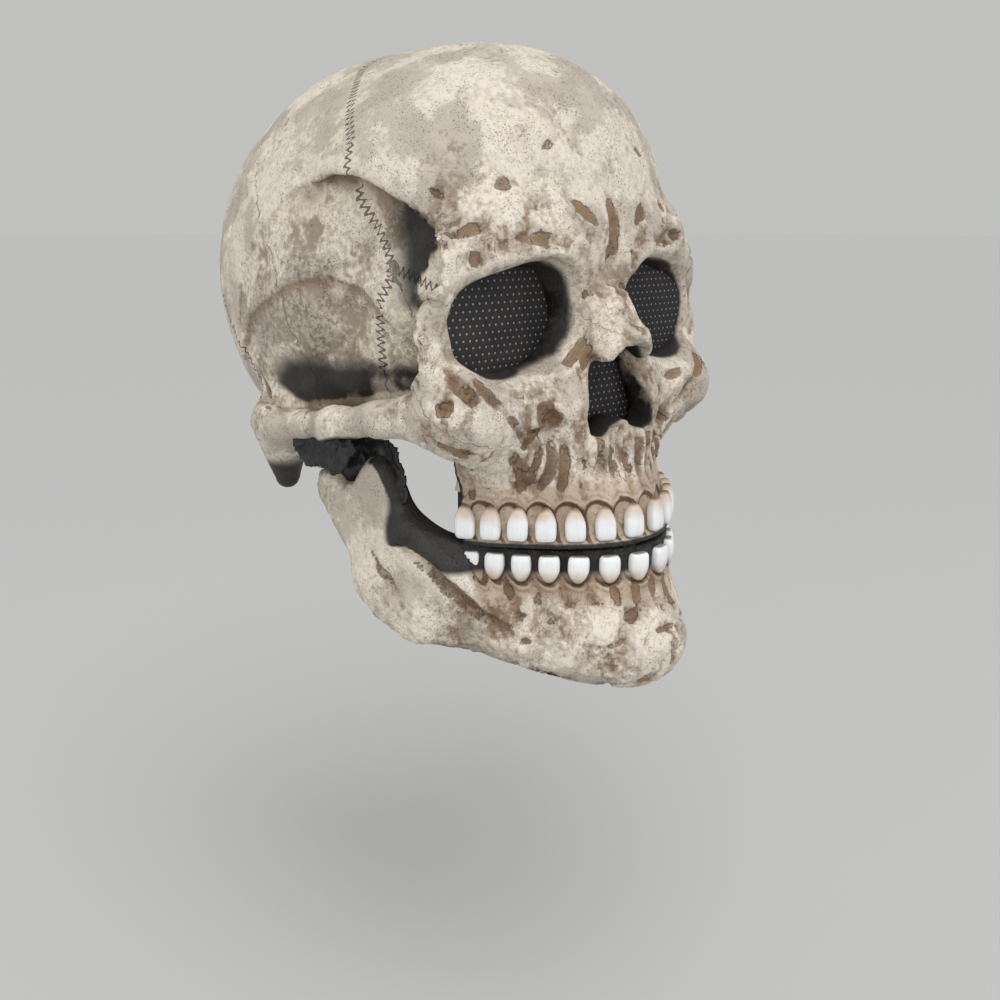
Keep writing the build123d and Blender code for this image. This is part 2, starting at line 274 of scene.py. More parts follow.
def outline(u, v, points):
    """How far a place is outside a closed outline, negative inside."""
    points = np.array(points, float)
    away = np.full(len(u), 1e9)
    inside = np.zeros(len(u), bool)
    for a, b in zip(points, np.roll(points, -1, axis=0)):
        run = b - a
        along = np.clip(((u - a[0]) * run[0] + (v - a[1]) * run[1]) / (run @ run), 0, 1)
        away = np.minimum(away, np.hypot(u - a[0] - run[0] * along, v - a[1] - run[1] * along))
        spans = (a[1] <= v) != (b[1] <= v)
        with np.errstate(divide="ignore", invalid="ignore"):
            crossing = a[0] + (v - a[1]) * run[0] / run[1]
        inside ^= spans & (u < crossing)
    return np.where(inside, -away, away)


def ramp(value, low, high):
    """0 at low, 1 at high, and a soft step between them."""
    t = np.clip((value - low) / (high - low), 0, 1)
    return t * t * (3 - 2 * t)


def horseshoe(x, y, front, spread):
    """Distance inside a tooth row whose plan is y = front + x * x / spread."""
    slope = 2 * x / spread
    return -(y - (front + x * x / spread)) / np.sqrt(1 + slope * slope)


def one_side(p):
    """Both sides are alike, so a form is only worked out for the left side."""
    return np.column_stack([np.abs(p[:, 0]), p[:, 1], p[:, 2]])


# A tooth row: where its plan starts, how it spreads, the z where crowns meet the gum, 1 above or -1 below.
Row = namedtuple("Row", "front spread gum side")
upper_row, lower_row = Row(-131, 74, -172, 1), Row(-134, 60, -204, -1)
print("clay tools are ready")

# %% [markdown]
# ## The skull's form
# The braincase is two eggs, one for the crown and one for the forehead. Brow, cheek bone, arch, nose and
# upper jaw are rolls pressed on it. The temple is pushed in behind a sharp line, and the eye sockets and the
# nose are cut as pits whose floors are opened afterwards.

# %% Skull form
temple_line = [
    (-30, -42), (-47, -43.5), (-58, -48), (-68, -54), (-79, -63), (-88, -70), (-90.5, -76), (-89, -82),
    (-86, -89), (-83, -95), (-82, -101), (-86, -107), (-86, -115), (-79, -122), (-64, -127.5),
    (-43, -131.5), (-20, -135), (10, -141), (34, -138), (38, -110), (24, -78), (-4, -50),
]  # fmt: skip
nose_line = [
    (-6, -108), (0, -108), (7, -110), (12, -118), (17, -128), (20.5, -137), (19.5, -143.5), (14, -145),
    (8, -143), (3, -140), (0, -139), (-6, -139),
]  # fmt: skip
socket_middle, socket_half, socket_tilt = (43.2, -97.6), (29.6, 21.6), math.radians(-15)
socket_floor, nose_floor = -88, -101


def socket_away(q, grow=0.0):
    """Distance outside the eye socket's rounded outline, seen from the front."""
    u, v = q[:, 0] - socket_middle[0], q[:, 2] - socket_middle[1]
    c, s = math.cos(socket_tilt), math.sin(socket_tilt)
    half_u, half_v = socket_half[0] + grow, socket_half[1] + grow
    ring = (np.abs((u * c + v * s) / half_u) ** 2.6 + np.abs((v * c - u * s) / half_v) ** 2.6) ** (1 / 2.6)
    return (ring - 1) * half_v


def nose_away(q, grow=0.0):
    return outline(q[:, 0], q[:, 2], nose_line) - grow


def braincase(q):
    return press(lump(q, (0, 10.6, -86), (91, 104, 100)), lump(q, (0, -46, -52), (80, 60, 63)), 25)


def upper_jaw(q):
    """A horseshoe that leans back and narrows as it rises from the gum."""
    x, y, z = q.T
    rise = np.clip(z + 186, -10, 80)
    form = horseshoe(x, y, upper_row.front + rise * 0.36, upper_row.spread)
    narrow = np.clip(rise - 8, 0, 40) * 0.30
    form = cut(form, -(x - 61 + narrow), 8)
    form = cut(form, -(z + 118), 6)
    return cut(form, -(y + 66), 6)


# Each roll: start, end, radius at both, and how wide it is pressed on.
brow_rolls = [
    ((14, -92, -72), (46, -90, -69), 13, 12, 18), ((46, -90, -69), (68, -82, -77), 12, 10, 14),
    ((68, -82, -77), (75, -82, -92), 10, 8, 8), ((75, -82, -92), (77, -83, -108), 8, 8, 6),
    ((77, -83, -108), (72, -84, -130), 8, 12, 8),
]  # fmt: skip
cheek_rolls = [
    ((64, -92, -127), (46, -94, -130), 12, 11, 10), ((46, -94, -130), (24, -98, -120), 11, 10, 10),
    ((56, -88, -142), (36, -92, -152), 14, 14, 14), ((72, -84, -134), (84, -62, -136), 11, 7, 8),
    ((84, -62, -136), (85, -34, -142), 7, 7, 5), ((85, -34, -142), (82, 10, -148), 7, 6, 10),
]  # fmt: skip
nose_rolls = [
    ((0, -98, -84), (0, -120, -106), 8, 8, 6), ((5, -102, -92), (8, -116, -110), 8, 7, 6),
    ((17, -96, -96), (24, -106, -132), 9, 8, 10), ((24, -106, -132), (14, -113, -150), 8, 7, 8),
    ((0, -116, -142), (0, -111, -152), 3, 5, 6),
]  # fmt: skip


def skull_form(p):
    q = one_side(p)
    x, y, z = q.T
    shell = braincase(q)
    form = press(shell, upper_jaw(q), 10)
    form = press(form, lump(q, (18, -90, -68), (20, 19, 13)), 16)
    form = press(form, lump(q, (66, -92, -133), (19, 16, 15)), 8)
    for start, end, thick, thin, width in brow_rolls + cheek_rolls + nose_rolls:
        form = press(form, roll(q, start, end, thick, thin), width)
    form = press(form, roll(q, (76, 22, -150), (71, 27, -176), 14, 6), 12)
    depth = 1.5 + 11.0 * ramp(-y, 5, 66) + 5 * ramp(-z, 100, 132) * ramp(-y, -30, 20)
    floor_plane = 66.5 + np.clip(y + 88, 0, 200) * 0.15
    temple = np.max([outline(y, z, temple_line), -(shell + depth), floor_plane - x], axis=0)
    form = cut(form, temple, 3)
    form = cut(form, np.maximum(socket_away(q) + 0.22 * np.clip(y + 104, 0, 20), y - socket_floor), 5)
    form = cut(form, np.maximum(nose_away(q), y - nose_floor), 2.5)
    return cut(form, z + 189.2, 1.5)


# %% [markdown]
# ## The jaw's form
# The jaw is a horseshoe for the body and the gum, with a flat branch on each side that goes up to the
# condyle, which turns in the skull, and to the coronoid in front of it.

# %% Jaw form
branch_line = [
    (-5, -166), (-14, -165.5), (-19, -167.5), (-24, -169), (-30, -167), (-36, -160), (-41, -155.5),
    (-47, -154), (-53, -158), (-57, -166), (-62, -178), (-70, -188), (-84, -198), (-80, -232),
    (-60, -232), (-43, -227), (-31, -218), (-24, -202), (-11, -189), (-2, -181), (0, -174),
]  # fmt: skip


def jaw_face(q):
    """Distance outside the jaw's outer face, negative towards the wearer."""
    x, y, z = q.T
    lean = 11 * ramp(-z, 200, 232) - 11 * ramp(-z, 232, 262)
    return horseshoe(x, y, lower_row.front - lean, lower_row.spread)


def branch_middle(y):
    """How far out the middle of the flat branch stands; it turns in towards the chin."""
    return 71.5 - np.clip(-y - 50, 0, 60) * 0.35


def jaw_form(p):
    q = one_side(p)
    x, y, z = q.T
    branch = cut(outline(y, z, branch_line) + 2, 4.5 - np.abs(x - branch_middle(y)), 5) - 1
    body = np.abs(jaw_face(q) + 8) - 8
    border = -254 + np.clip(y + 131, 0, 100) * 0.33
    body = cut(body, z - border, 14)
    body = cut(body, -(z + 189.8), 1.5)
    body = cut(body, 68 - x, 6)
    body = cut(body, -(y + 58), 8)
    form = press(branch, body, 14)
    form = press(form, lump(q, (0, -129, -236), (20, 15, 16)), 10)
    form = press(form, roll(q, (70, -60, -186), (54, -88, -216), 5, 7), 10)
    return press(form, roll(q, (71, -40, -212), (66, -62, -226), 7, 7), 10)


print("forms are ready")

# %% [markdown]
# ## From clay to a skin
# The latex skin is found by walking a grid: where the form changes from outside to inside, each small cell
# gets one point, and the points of neighbouring cells are joined into four-sided faces. Each point then
# slides along the form's slope until it lies on the surface. This keeps sharp gum lines and thin edges that
# a remeshed lump would lose.

# %% Grid skin


def field_slope(field, p, reach=0.2):
    """The direction in which a form's distance grows."""
    slope = np.empty_like(p)
    for axis in range(3):
        shift = np.zeros(3)
        shift[axis] = reach
        slope[:, axis] = (field(p + shift) - field(p - shift)) / (2 * reach)
    return slope


def unit_slope(points, form):
    slope = field_slope(form, points)
    return slope / np.maximum(np.linalg.norm(slope, axis=1), 1e-6)[:, None]


def sample(field, low, high, cell, block=6):
    """The form on a grid; blocks that lie far from the surface keep the value of their middle."""
    counts = np.ceil((np.array(high) - low) / cell / block).astype(int)
    axes = [low[i] + (np.arange(counts[i]) + 0.5) * block * cell - cell / 2 for i in range(3)]
    middles = np.stack(np.meshgrid(*axes, indexing="ij"), -1).reshape(-1, 3)
    rough = field(middles).reshape(counts)

    def fill(values):
        return values.repeat(block, 0).repeat(block, 1).repeat(block, 2)

    grid, near = fill(rough), fill(np.abs(rough) < block * cell * 1.3)
    index = np.argwhere(near)
    values = np.empty(len(index))
    batch = 400000
    for start in range(0, len(index), batch):
        values[start:start + batch] = field(np.array(low) + index[start:start + batch] * cell)
    grid[near] = values
    return grid


def skin_points(field, low, high, cell):
    """Points and four-sided faces on the surface where the form is zero."""
    grid = sample(field, low, high, cell)
    inside = grid < 0
    total = np.zeros(tuple(n - 1 for n in grid.shape) + (3,))
    count = np.zeros(tuple(n - 1 for n in grid.shape))
    crossings = []
    for axis in range(3):
        first = tuple(slice(0, -1) if i == axis else slice(None) for i in range(3))
        second = tuple(slice(1, None) if i == axis else slice(None) for i in range(3))
        where = np.argwhere(inside[first] != inside[second])
        a, b = grid[first][tuple(where.T)], grid[second][tuple(where.T)]
        place = where.astype(float)
        place[:, axis] += a / (a - b)
        crossings.append((axis, where, a < 0))
        others = [i for i in range(3) if i != axis]
        for du in (0, 1):
            for dv in (0, 1):
                cell_at = where.copy()
                cell_at[:, others[0]] -= du
                cell_at[:, others[1]] -= dv
                fits = ((cell_at >= 0) & (cell_at < count.shape)).all(1)
                spot = tuple(cell_at[fits].T)
                np.add.at(total, spot, place[fits])
                np.add.at(count, spot, 1)
    number = np.full(count.shape, -1)
    used = count > 0
    number[used] = np.arange(used.sum())
    points = np.array(low) + total[used] / count[used][:, None] * cell
    faces = []
    for axis, where, leaving in crossings:
        u, v = [(1, 2), (2, 0), (0, 1)][axis]
        corners = []
        for du, dv in ((1, 1), (0, 1), (0, 0), (1, 0)):
            spot = where.copy()
            spot[:, u] -= du
            spot[:, v] -= dv
            corners.append(number[tuple(spot.T)])
        quads = np.stack(corners, 1)
        faces.append(np.where(leaving[:, None], quads, quads[:, ::-1]))
    for _ in range(3):
        value, slope = field(points), field_slope(field, points)
        move = -value[:, None] * slope / np.maximum((slope**2).sum(1), 0.05)[:, None]
        points += np.clip(move, -cell * 0.5, cell * 0.5)
    return points, np.concatenate(faces)


def select(piece):
    bpy.ops.object.select_all(action="DESELECT")
    piece.select_set(True)
    bpy.context.view_layer.objects.active = piece


def new_piece(name, points, faces, smooth=40):
    """A closed piece from points in millimetres, shaded smooth except over edges sharper than this."""
    mesh = bpy.data.meshes.new(name)
    mesh.from_pydata((np.array(points) * MM).tolist(), [], [list(map(int, face)) for face in faces])
    piece = bpy.data.objects.new(name, mesh)
    bpy.context.scene.collection.objects.link(piece)
    select(piece)
    bpy.ops.object.shade_smooth_by_angle(angle=math.radians(smooth))
    return piece


def vectors_of(piece, kind):
    """The places ("co") or the normals of a piece's points, as stored."""
    flat = np.empty(len(piece.data.vertices) * 3)
    piece.data.vertices.foreach_get(kind, flat)
    return flat.reshape(-1, 3)


def points_of(piece):
    """A piece's points in millimetres."""
    return vectors_of(piece, "co") / MM


def move_points(piece, points):
    piece.data.vertices.foreach_set("co", (points * MM).ravel())
    piece.data.update()


def paint_marks(piece, marks):
    """Numbers on the points, for the material to read."""
    for name, values in marks.items():
        layer = piece.data.attributes.new(name, "FLOAT", "POINT")
        layer.data.foreach_set("value", np.asarray(values, dtype=np.float32))


print("skin tools are ready")

# %% [markdown]
# ## Openings and walls
# The openings are cut in the skin as with scissors: faces that cross the line are trimmed to it. The wall
# then comes from Solidify, which sets a second skin 3 mm inside the first and closes the edges, as latex
# poured into a mould has the same thickness all over.

# %% Trim and thicken


def trim(points, faces, tool):
    """Takes away what lies inside the tool and trims the faces that cross its surface."""
    value = tool(points)
    outside = value[faces] >= 0
    whole = [tuple(face) for face in faces[outside.all(1)]]
    points, extra, made = list(points), {}, []
    for face in faces[outside.any(1) & ~outside.all(1)]:
        trimmed = []
        for a, b in zip(face, np.roll(face, -1)):
            if value[a] >= 0:
                trimmed.append(int(a))
            if (value[a] >= 0) != (value[b] >= 0):
                key = (min(a, b), max(a, b))
                if key not in extra:
                    share = value[key[0]] / (value[key[0]] - value[key[1]])
                    extra[key] = len(points)
                    points.append(points[key[0]] * (1 - share) + points[key[1]] * share)
                trimmed.append(extra[key])
        made.append(tuple(trimmed))
    faces = whole + made
    used = sorted({corner for face in faces for corner in face})
    number = {old: new for new, old in enumerate(used)}
    return np.array([points[i] for i in used]), [tuple(number[c] for c in face) for face in faces]


def apply(piece, kind, **settings):
    """Adds a modifier and applies it."""
    select(piece)
    modifier = piece.modifiers.new("shape", kind)
    for key, value in settings.items():
        setattr(modifier, key, value)
    bpy.ops.object.modifier_apply(modifier=modifier.name)


def edit_all(operator, **settings):
    """Runs a mesh operator on every face of the active piece."""
    bpy.ops.object.mode_set(mode="EDIT")
    bpy.ops.mesh.select_all(action="SELECT")
    operator(**settings)
    bpy.ops.object.mode_set(mode="OBJECT")


def thicken(piece, most):
    """Gives the piece its wall, then thins out its triangles where the surface is plain."""
    apply(piece, "SOLIDIFY", thickness=wall * MM, offset=-1)
    triangles = sum(len(face.vertices) - 2 for face in piece.data.polygons)
    if triangles > most:
        apply(piece, "DECIMATE", ratio=most / triangles)


print("scissors and wall tools are ready")

# %% [markdown]
# ## The skull casting
# The casting is open below the cheek bone, where the jaw hangs, and under the head. The gum turns in by
# 9 mm, and the sockets and the nose are short tunnels without a floor.

# %% Skull shell
open_below = [
    (-82, -230), (-82, -186), (-80, -177), (-78, -167), (-74, -159), (-70, -151), (-60, -146),
    (-42, -146), (-30, -150), (-12, -153), (-2, -159), (3, -166), (12, -172), (18, -182),
    (30, -186), (44, -176), (130, -166), (130, -230),
]  # fmt: skip


def skull_openings(p):
    q = one_side(p)
    x, y, z = q.T
    below = outline(y, z, open_below)
    gum = np.maximum(z + 187, turn_in - horseshoe(x, y, upper_row.front, upper_row.spread))
    neck = np.maximum((np.hypot(x / 60, y / 70) - 1) * 60, z + 150)
    sockets = np.maximum(socket_away(q, 2), np.maximum(-88.9 - y, y + 87.2))
    nose = np.maximum(nose_away(q, 2), np.maximum(-102.5 - y, y + 80))
    return np.min([below, gum, neck, sockets, nose], axis=0)


skull_cell = 1.5
points, faces = skin_points(skull_form, (-103, -139, -196), (103, 122, 24), skull_cell)
print("skull skin", len(points), "points")
points, faces = trim(points, faces, skull_openings)
skull_skin = points, faces

# %% [markdown]
# ## The jaw casting
# The jaw is the same latex: a face with a gum and a border that turn in by 9 mm, open towards the wearer's
# chin.

# %% Jaw shell


def jaw_openings(p):
    q = one_side(p)
    x, y, z = q.T
    return np.maximum(jaw_face(q) + turn_in, x - branch_middle(y) + 0.5)


jaw_cell = 1.3
points, faces = skin_points(jaw_form, (-84, -156, -262), (84, 10, -148), jaw_cell)
points, faces = trim(points, faces, jaw_openings)
jaw_skin = points, faces
print("skull", len(skull_skin[1]), "faces, jaw", len(jaw_skin[1]), "faces")

# %% [markdown]
# ## Paint marks
# The painter of such a mask works in three passes: a brown wash that stays in the hollows, a dry white brush
# over what stands out, and black where the latex should not be seen. Here the wash is brown paint and painted
# shade at once: it follows how much of the form stands over a point, which is how much shade falls there, so
# it is worked out from the clay itself, and the dry brush, laid where that shade is least, is also a painted
# highlight. Cracks and pits are short strokes, pressed in by about a millimetre and stained.

# %% Hollows and strokes


def occlusion_shade(points, form, reaches=(3, 8, 18)):
    """How much clay stands around each point, which is how much shade falls on it: 0 on a bare dome, towards
    1 in a pit.
    """
    shade = np.zeros(len(points))
    outwards = unit_slope(points, form)
    for reach in reaches:
        free = form(points + outwards * reach)
        shade += np.clip(1 - free / reach, 0, 1) / len(reaches)
    return shade


def strokes_near(points, strokes):
    """Depth and stain of leaf-shaped strokes; each is its points, its half width, its depth and its stain."""
    depth, stain = np.zeros(len(points)), np.zeros(len(points))
    for line, half, deep, dark in strokes:
        line = np.array(line, float)
        reach = half * 2.5 + 1
        near = ((points > line.min(0) - reach) & (points < line.max(0) + reach)).all(1)
        p = points[near]
        best = np.full(len(p), 1e9)
        for number, (a, b) in enumerate(zip(line[:-1], line[1:])):
            run = b - a
            t = np.clip((p - a) @ run / max(run @ run, 1e-9), 0, 1)
            place = (number + t) / (len(line) - 1)
            leaf = half * (0.35 + 0.65 * np.sin(np.pi * np.clip(place, 0, 1)) ** 0.7)
            best = np.minimum(best, np.linalg.norm(p - a - t[:, None] * run, axis=1) / leaf)
        depth[near] = np.maximum(depth[near], deep * (1 - ramp(best, 0.45, 1.5)))
        stain[near] = np.maximum(stain[near], dark * (1 - ramp(best, 0.4, 1.7)))
    return depth, stain


def settle(line, form, step=4.0):
    """A stroke's rough points, divided and laid on the form."""
    line = np.array(line, float)
    made = [line[:1]]
    for start, end in zip(line[:-1], line[1:]):
        count = max(int(np.linalg.norm(end - start) / step), 1)
        made.append(start + (end - start) * (np.arange(count)[:, None] + 1) / count)
    p = np.concatenate(made)
    for _ in range(6):
        value, slope = form(p), field_slope(form, p)
        p = p - value[:, None] * slope / np.maximum((slope**2).sum(1), 0.2)[:, None]
    return p


def row_length(x, spread):
    """Distance along a tooth row from its middle."""
    return x / 2 * np.sqrt(1 + (2 * x / spread) ** 2) + spread / 4 * np.arcsinh(2 * x / spread)


first_tooth, tooth_step, tooth_less = 7.0, 13.5, 0.27  # the teeth stand closer towards the back
tooth_pitch = 12  # the usual distance between teeth


def tooth_number(x, spread):
    """The number of the tooth at a distance to the side; whole numbers are the gaps between teeth."""
    rest = tooth_step**2 - 4 * tooth_less * (row_length(x, spread) - first_tooth)
    return (tooth_step - np.sqrt(np.maximum(rest, 0.01))) / (2 * tooth_less) + 0.5


print("paint tools are ready")

# %% [markdown]
# ## Seams of the skull
# The seams between the plates of the braincase wriggle too finely for the mesh. Each point only carries its
# signed distance to the seam's smooth course and its place along it, and the material draws the wriggle.

# %% Seams
# Each course is a few rough points, which are laid on the form afterwards.
crown_seam = [
    (0, 5, 15), (40, 0, 5), (60, -20, -10), (78, -40, -30), (80, -43, -50), (76, -58, -78), (76, -50, -95),
    (70, -47, -120),
]  # fmt: skip
side_seam = [(76, -58, -78), (71, -80, -86)]
back_seam = [(0, 90, -12), (40, 85, -45), (68, 68, -80), (86, 40, -115), (84, 26, -150)]
middle_seam = [(0, 5, 15), (0, 60, 5), (0, 90, -12)]
plate_edge = [(84, 44, -122), (88, 24, -100), (85, -8, -85), (81, -28, -82), (78, -42, -87), (76, -52, -97)]
seam_reach = 9  # a seam's distance is painted no farther than this


def along_seam(q, line):
    """Signed distance to a seam's course and the length along it."""
    line = settle(line, skull_form, 5)
    best, signed, run_at, run_total = np.full(len(q), 1e9), np.zeros(len(q)), np.zeros(len(q)), 0.0
    for a, b in zip(line[:-1], line[1:]):
        run = b - a
        length = np.linalg.norm(run)
        t = np.clip((q - a) @ run / length**2, 0, 1)
        away = q - a - t[:, None] * run
        middle = (a + b) / 2
        out = field_slope(skull_form, middle[None])[0]
        side = np.sign(away @ np.cross(run, out))
        size = np.linalg.norm(away, axis=1)
        closer = size < best
        best = np.where(closer, size, best)
        signed = np.where(closer, size * side, signed)
        run_at = np.where(closer, run_total + t * length, run_at)
        run_total += length
    return signed, run_at


def nearest_seam(q, lines):
    signed, place = along_seam(q, lines[0])
    for number, line in enumerate(lines[1:]):
        other, run = along_seam(q, line)
        closer = np.abs(other) < np.abs(signed)
        signed, place = np.where(closer, other, signed), np.where(closer, run + 40 * (number + 1), place)
    return np.clip(signed, -seam_reach, seam_reach), place


# Strokes: rough points on the left side, half width, depth, stain. They are mirrored.
brow_strokes = [
    ([(60, -100, -70), (54, -104, -68)], 2.0, 1.4, 1.0),
    ([(50, -106, -66), (40, -108, -66), (30, -110, -70)], 3.0, 2.0, 1.0),
    ([(40, -102, -54), (36, -104, -54)], 2.8, 1.0, 0.55), ([(66, -96, -72), (62, -98, -76)], 2.6, 1.2, 0.9),
    ([(68, -78, -52), (66, -80, -48)], 3.0, 1.0, 0.8), ([(58, -100, -60), (70, -88, -66)], 2.4, 1.1, 0.8),
    ([(46, -100, -44), (52, -96, -46)], 3.0, 0.9, 0.5), ([(24, -98, -30), (30, -98, -34)], 2.6, 0.8, 0.4),
    ([(12, -110, -62), (22, -108, -52)], 2.4, 1.0, 0.8),
]  # fmt: skip
nose_strokes = [
    ([(0, -106, -50), (0, -108, -62), (0, -110, -84)], 2.8, 1.5, 0.9),
    ([(0, -106, -88), (8, -106, -88), (14, -104, -90)], 1.8, 1.3, 0.9),
    ([(14, -110, -106), (16, -110, -112), (20, -108, -120)], 2.4, 1.2, 0.9),
    ([(24, -108, -98), (26, -108, -108), (24, -108, -118)], 2.6, 1.2, 0.8),
    ([(72, -82, -84), (66, -84, -86), (58, -84, -90)], 1.4, 1.2, 1.0),
]  # fmt: skip
cheek_strokes = [
    ([(76, -96, -116), (72, -106, -128)], 3.0, 2.2, 1.0),
    ([(82, -96, -126), (80, -100, -130)], 3.6, 1.8, 1.0),
    ([(64, -108, -126), (54, -108, -136), (48, -108, -144)], 1.6, 1.6, 1.0),
    ([(42, -108, -142), (40, -108, -146)], 6.5, 3.4, 1.0),
    ([(36, -108, -134), (30, -108, -138)], 4.0, 2.0, 1.0),
    ([(70, -106, -112), (66, -108, -124), (60, -108, -130)], 2.4, 1.2, 0.8),
    ([(54, -108, -124), (46, -108, -126), (38, -108, -126)], 2.0, 1.2, 0.8),
    ([(78, -92, -138), (72, -98, -146), (66, -102, -150)], 2.6, 1.1, 0.8),
    ([(52, -104, -148), (46, -104, -158), (40, -104, -166)], 3.0, 2.0, 1.0),
    ([(56, -84, -166), (56, -82, -170)], 2.6, 1.6, 1.0), ([(58, -88, -150), (62, -86, -158)], 3.0, 1.6, 0.9),
    ([(84, 30, -128), (86, 22, -134), (86, 12, -140)], 1.5, 0.8, 0.7),
]  # fmt: skip
jaw_strokes = [
    ([(74, -60, -190), (72, -74, -198), (62, -90, -214), (50, -102, -226)], 3.0, 2.8, 1.0),
    ([(48, -108, -226), (48, -108, -230)], 2.2, 1.6, 0.9),
    ([(48, -104, -216), (46, -104, -220)], 2.8, 1.6, 0.9),
    ([(40, -114, -216), (38, -114, -222)], 2.8, 1.6, 0.9),
    ([(34, -120, -210), (34, -120, -214)], 2.2, 1.2, 0.9),
    ([(24, -128, -210), (24, -128, -214)], 2.2, 1.2, 0.9),
    ([(16, -136, -214), (12, -138, -220)], 3.4, 1.8, 0.9),
    ([(2, -144, -222), (2, -144, -226)], 3.8, 2.2, 1.0),
    ([(34, -126, -228), (26, -132, -230), (18, -138, -226)], 1.3, 1.0, 0.8),
    ([(30, -126, -238), (26, -132, -230), (24, -136, -236)], 1.0, 0.7, 0.7),
    ([(74, -44, -196), (70, -58, -214)], 2.6, 0.7, 0.4), ([(0, -142, -206), (0, -146, -216)], 1.4, 0.8, 0.5),
]  # fmt: skip
skull_strokes = brow_strokes + nose_strokes + cheek_strokes
for i in range(7):  # grooves between the roots, above and below
    x = 10.4 * i * (0.93 - 0.028 * i)
    lean = 0.9 - 0.02 * i
    skull_strokes.append(([(x, -131 + x * x / 74, -168), (x * lean, -126 + x * x / 76, -158),
                           (x * lean * 0.97, -122 + x * x / 78, -149 + (i % 3) * 4)], 2.3, 1.7, 0.95))
    jaw_strokes.append(([(x, -134 + x * x / 60, -204), (x * 0.98, -136 + x * x / 60, -209),
                         (x * 0.97, -138 + x * x / 60, -214 - (i % 2) * 4)], 2.0, 1.2, 0.8))


def gnarl(points, scale, octaves=4):
    """Ridged noise from 0 to about 1: narrow valleys between broad, soft ridges."""
    return np.array([abs(noise.fractal(Vector(p / scale), 0.9, 2.1, octaves)) for p in points])


def patches(points, scale, octaves):
    """Cloudy noise around zero."""
    return np.array([noise.fractal(Vector(p), 0.8, 2.1, octaves) for p in points / np.array(scale)])


def boss(q, centre, radius):
    """A round ridged knob, as outward distance."""
    away = np.linalg.norm(q - np.array(centre), axis=1) / radius
    return np.clip(1 - away**2, 0, 1) ** 0.5 * (1.1 + 0.45 * np.sin(q[:, 2] * 2 * np.pi / 2.6))


def gum_relief(x, z, row):
    """The gum is sunk round each tooth and stands up in a scalloped rim outside that."""
    number = tooth_number(x, row.spread)
    across = np.abs(number % 1 - 0.5) * tooth_pitch
    above = (z - row.gum) * row.side
    ring = np.hypot(across, np.maximum(above + 5.5, 0) * 0.9)
    rim = 0.7 * np.exp(-(((ring - 6.9) / 1.3) ** 2)) * ramp(above, -6, -2)
    sunk = 1.0 * (1 - ramp(ring, 5.2, 6.4))
    return (rim - sunk) * (number < 7.2) * ramp(above, -20, -14)


def lay(strokes, form):
    return [(settle(line, form), half, deep, dark) for line, half, deep, dark in strokes]


def carved(points, form, strokes, knob, row, face):
    """How far each point of a skin moves outwards, and the soft dirt and crisp stain that go with it."""
    q = one_side(points)
    depth, stain = strokes_near(q, strokes)
    blobs = ramp(patches(points, (8, 8, 15), 4), 0.05, 0.42) * face
    wrinkles = (1 - ramp(gnarl(points + 90, np.array([15, 15, 24])), 0.0, 0.13)) * face
    low = ramp(patches(points + 300, (26, 26, 30), 5), -0.1, 0.5)
    rise = boss(q, knob, 5) - depth - 1.3 * blobs - 0.7 * wrinkles - 0.9 * low
    rise += gum_relief(q[:, 0], q[:, 2], row) * ramp(-q[:, 1], 70, 76)
    bite = row.gum - row.side * 16
    rise *= 1 - ramp((bite - q[:, 2]) * row.side, -3, -1) * (q[:, 1] < -60)
    return rise, np.maximum(blobs, wrinkles * 0.6), stain


def skull_face(p):
    q = one_side(p)
    face = ramp(-q[:, 1], 58, 84) * ramp(q[:, 2], -172, -158) * (0.3 + 0.7 * ramp(-q[:, 2], 44, 66))
    return face * ramp(socket_away(q), 0.5, 6) * ramp(nose_away(q), 0, 3)


def jaw_front(p):
    return ramp(-p[:, 2], 206, 214) * (0.5 + 0.5 * ramp(-p[:, 1], 70, 100))


def plate_side(q):
    plate, _ = along_seam(q, plate_edge)
    return np.where(q[:, 1] > 46, seam_reach, plate)


def inside_mark(piece, points, form):
    """1 on the inner skin, which looks towards the head."""
    facing_in = (vectors_of(piece, "normal") * unit_slope(points, form)).sum(1) < 0.2
    return ramp(-form(points), 0.8, 2.0) * facing_in


def casting(name, most, skin, form, strokes, knob, row, face, step=None):
    """Carves a skin, gives it its wall, and works out the marks that both castings carry."""
    points, faces = skin
    rise, _, _ = carved(points, form, strokes, knob, row, face(points))
    if step is not None:
        rise += step(one_side(points))
    piece = new_piece(name, points + unit_slope(points, form) * rise[:, None], faces)
    thicken(piece, most)
    points = points_of(piece)
    _, grime, stain = carved(points, form, strokes, knob, row, face(points))
    marks = {
        "wash": occlusion_shade(points, form), "stain": stain, "grime": grime,
        "inner": inside_mark(piece, points, form),
        "dirt": ramp(patches(points + 500, (24, 24, 24), 6), -0.30, 0.45),
        "row": tooth_number(np.abs(points[:, 0]), row.spread),
    }  # fmt: skip
    return piece, points, marks


def plate_step(q):
    """The rise of the plate behind its edge."""
    plate = plate_side(q)
    return 1.5 * ramp(plate, -0.8, 0.8) * ramp(-plate, -14, -3) * ramp(q[:, 0], 60, 70)


knob_above = settle([(52, -92, -165)], skull_form)[0]
knob_below = settle([(51.5, -98, -211)], jaw_form)[0]
skull_cuts, jaw_cuts = lay(skull_strokes, skull_form), lay(jaw_strokes, jaw_form)

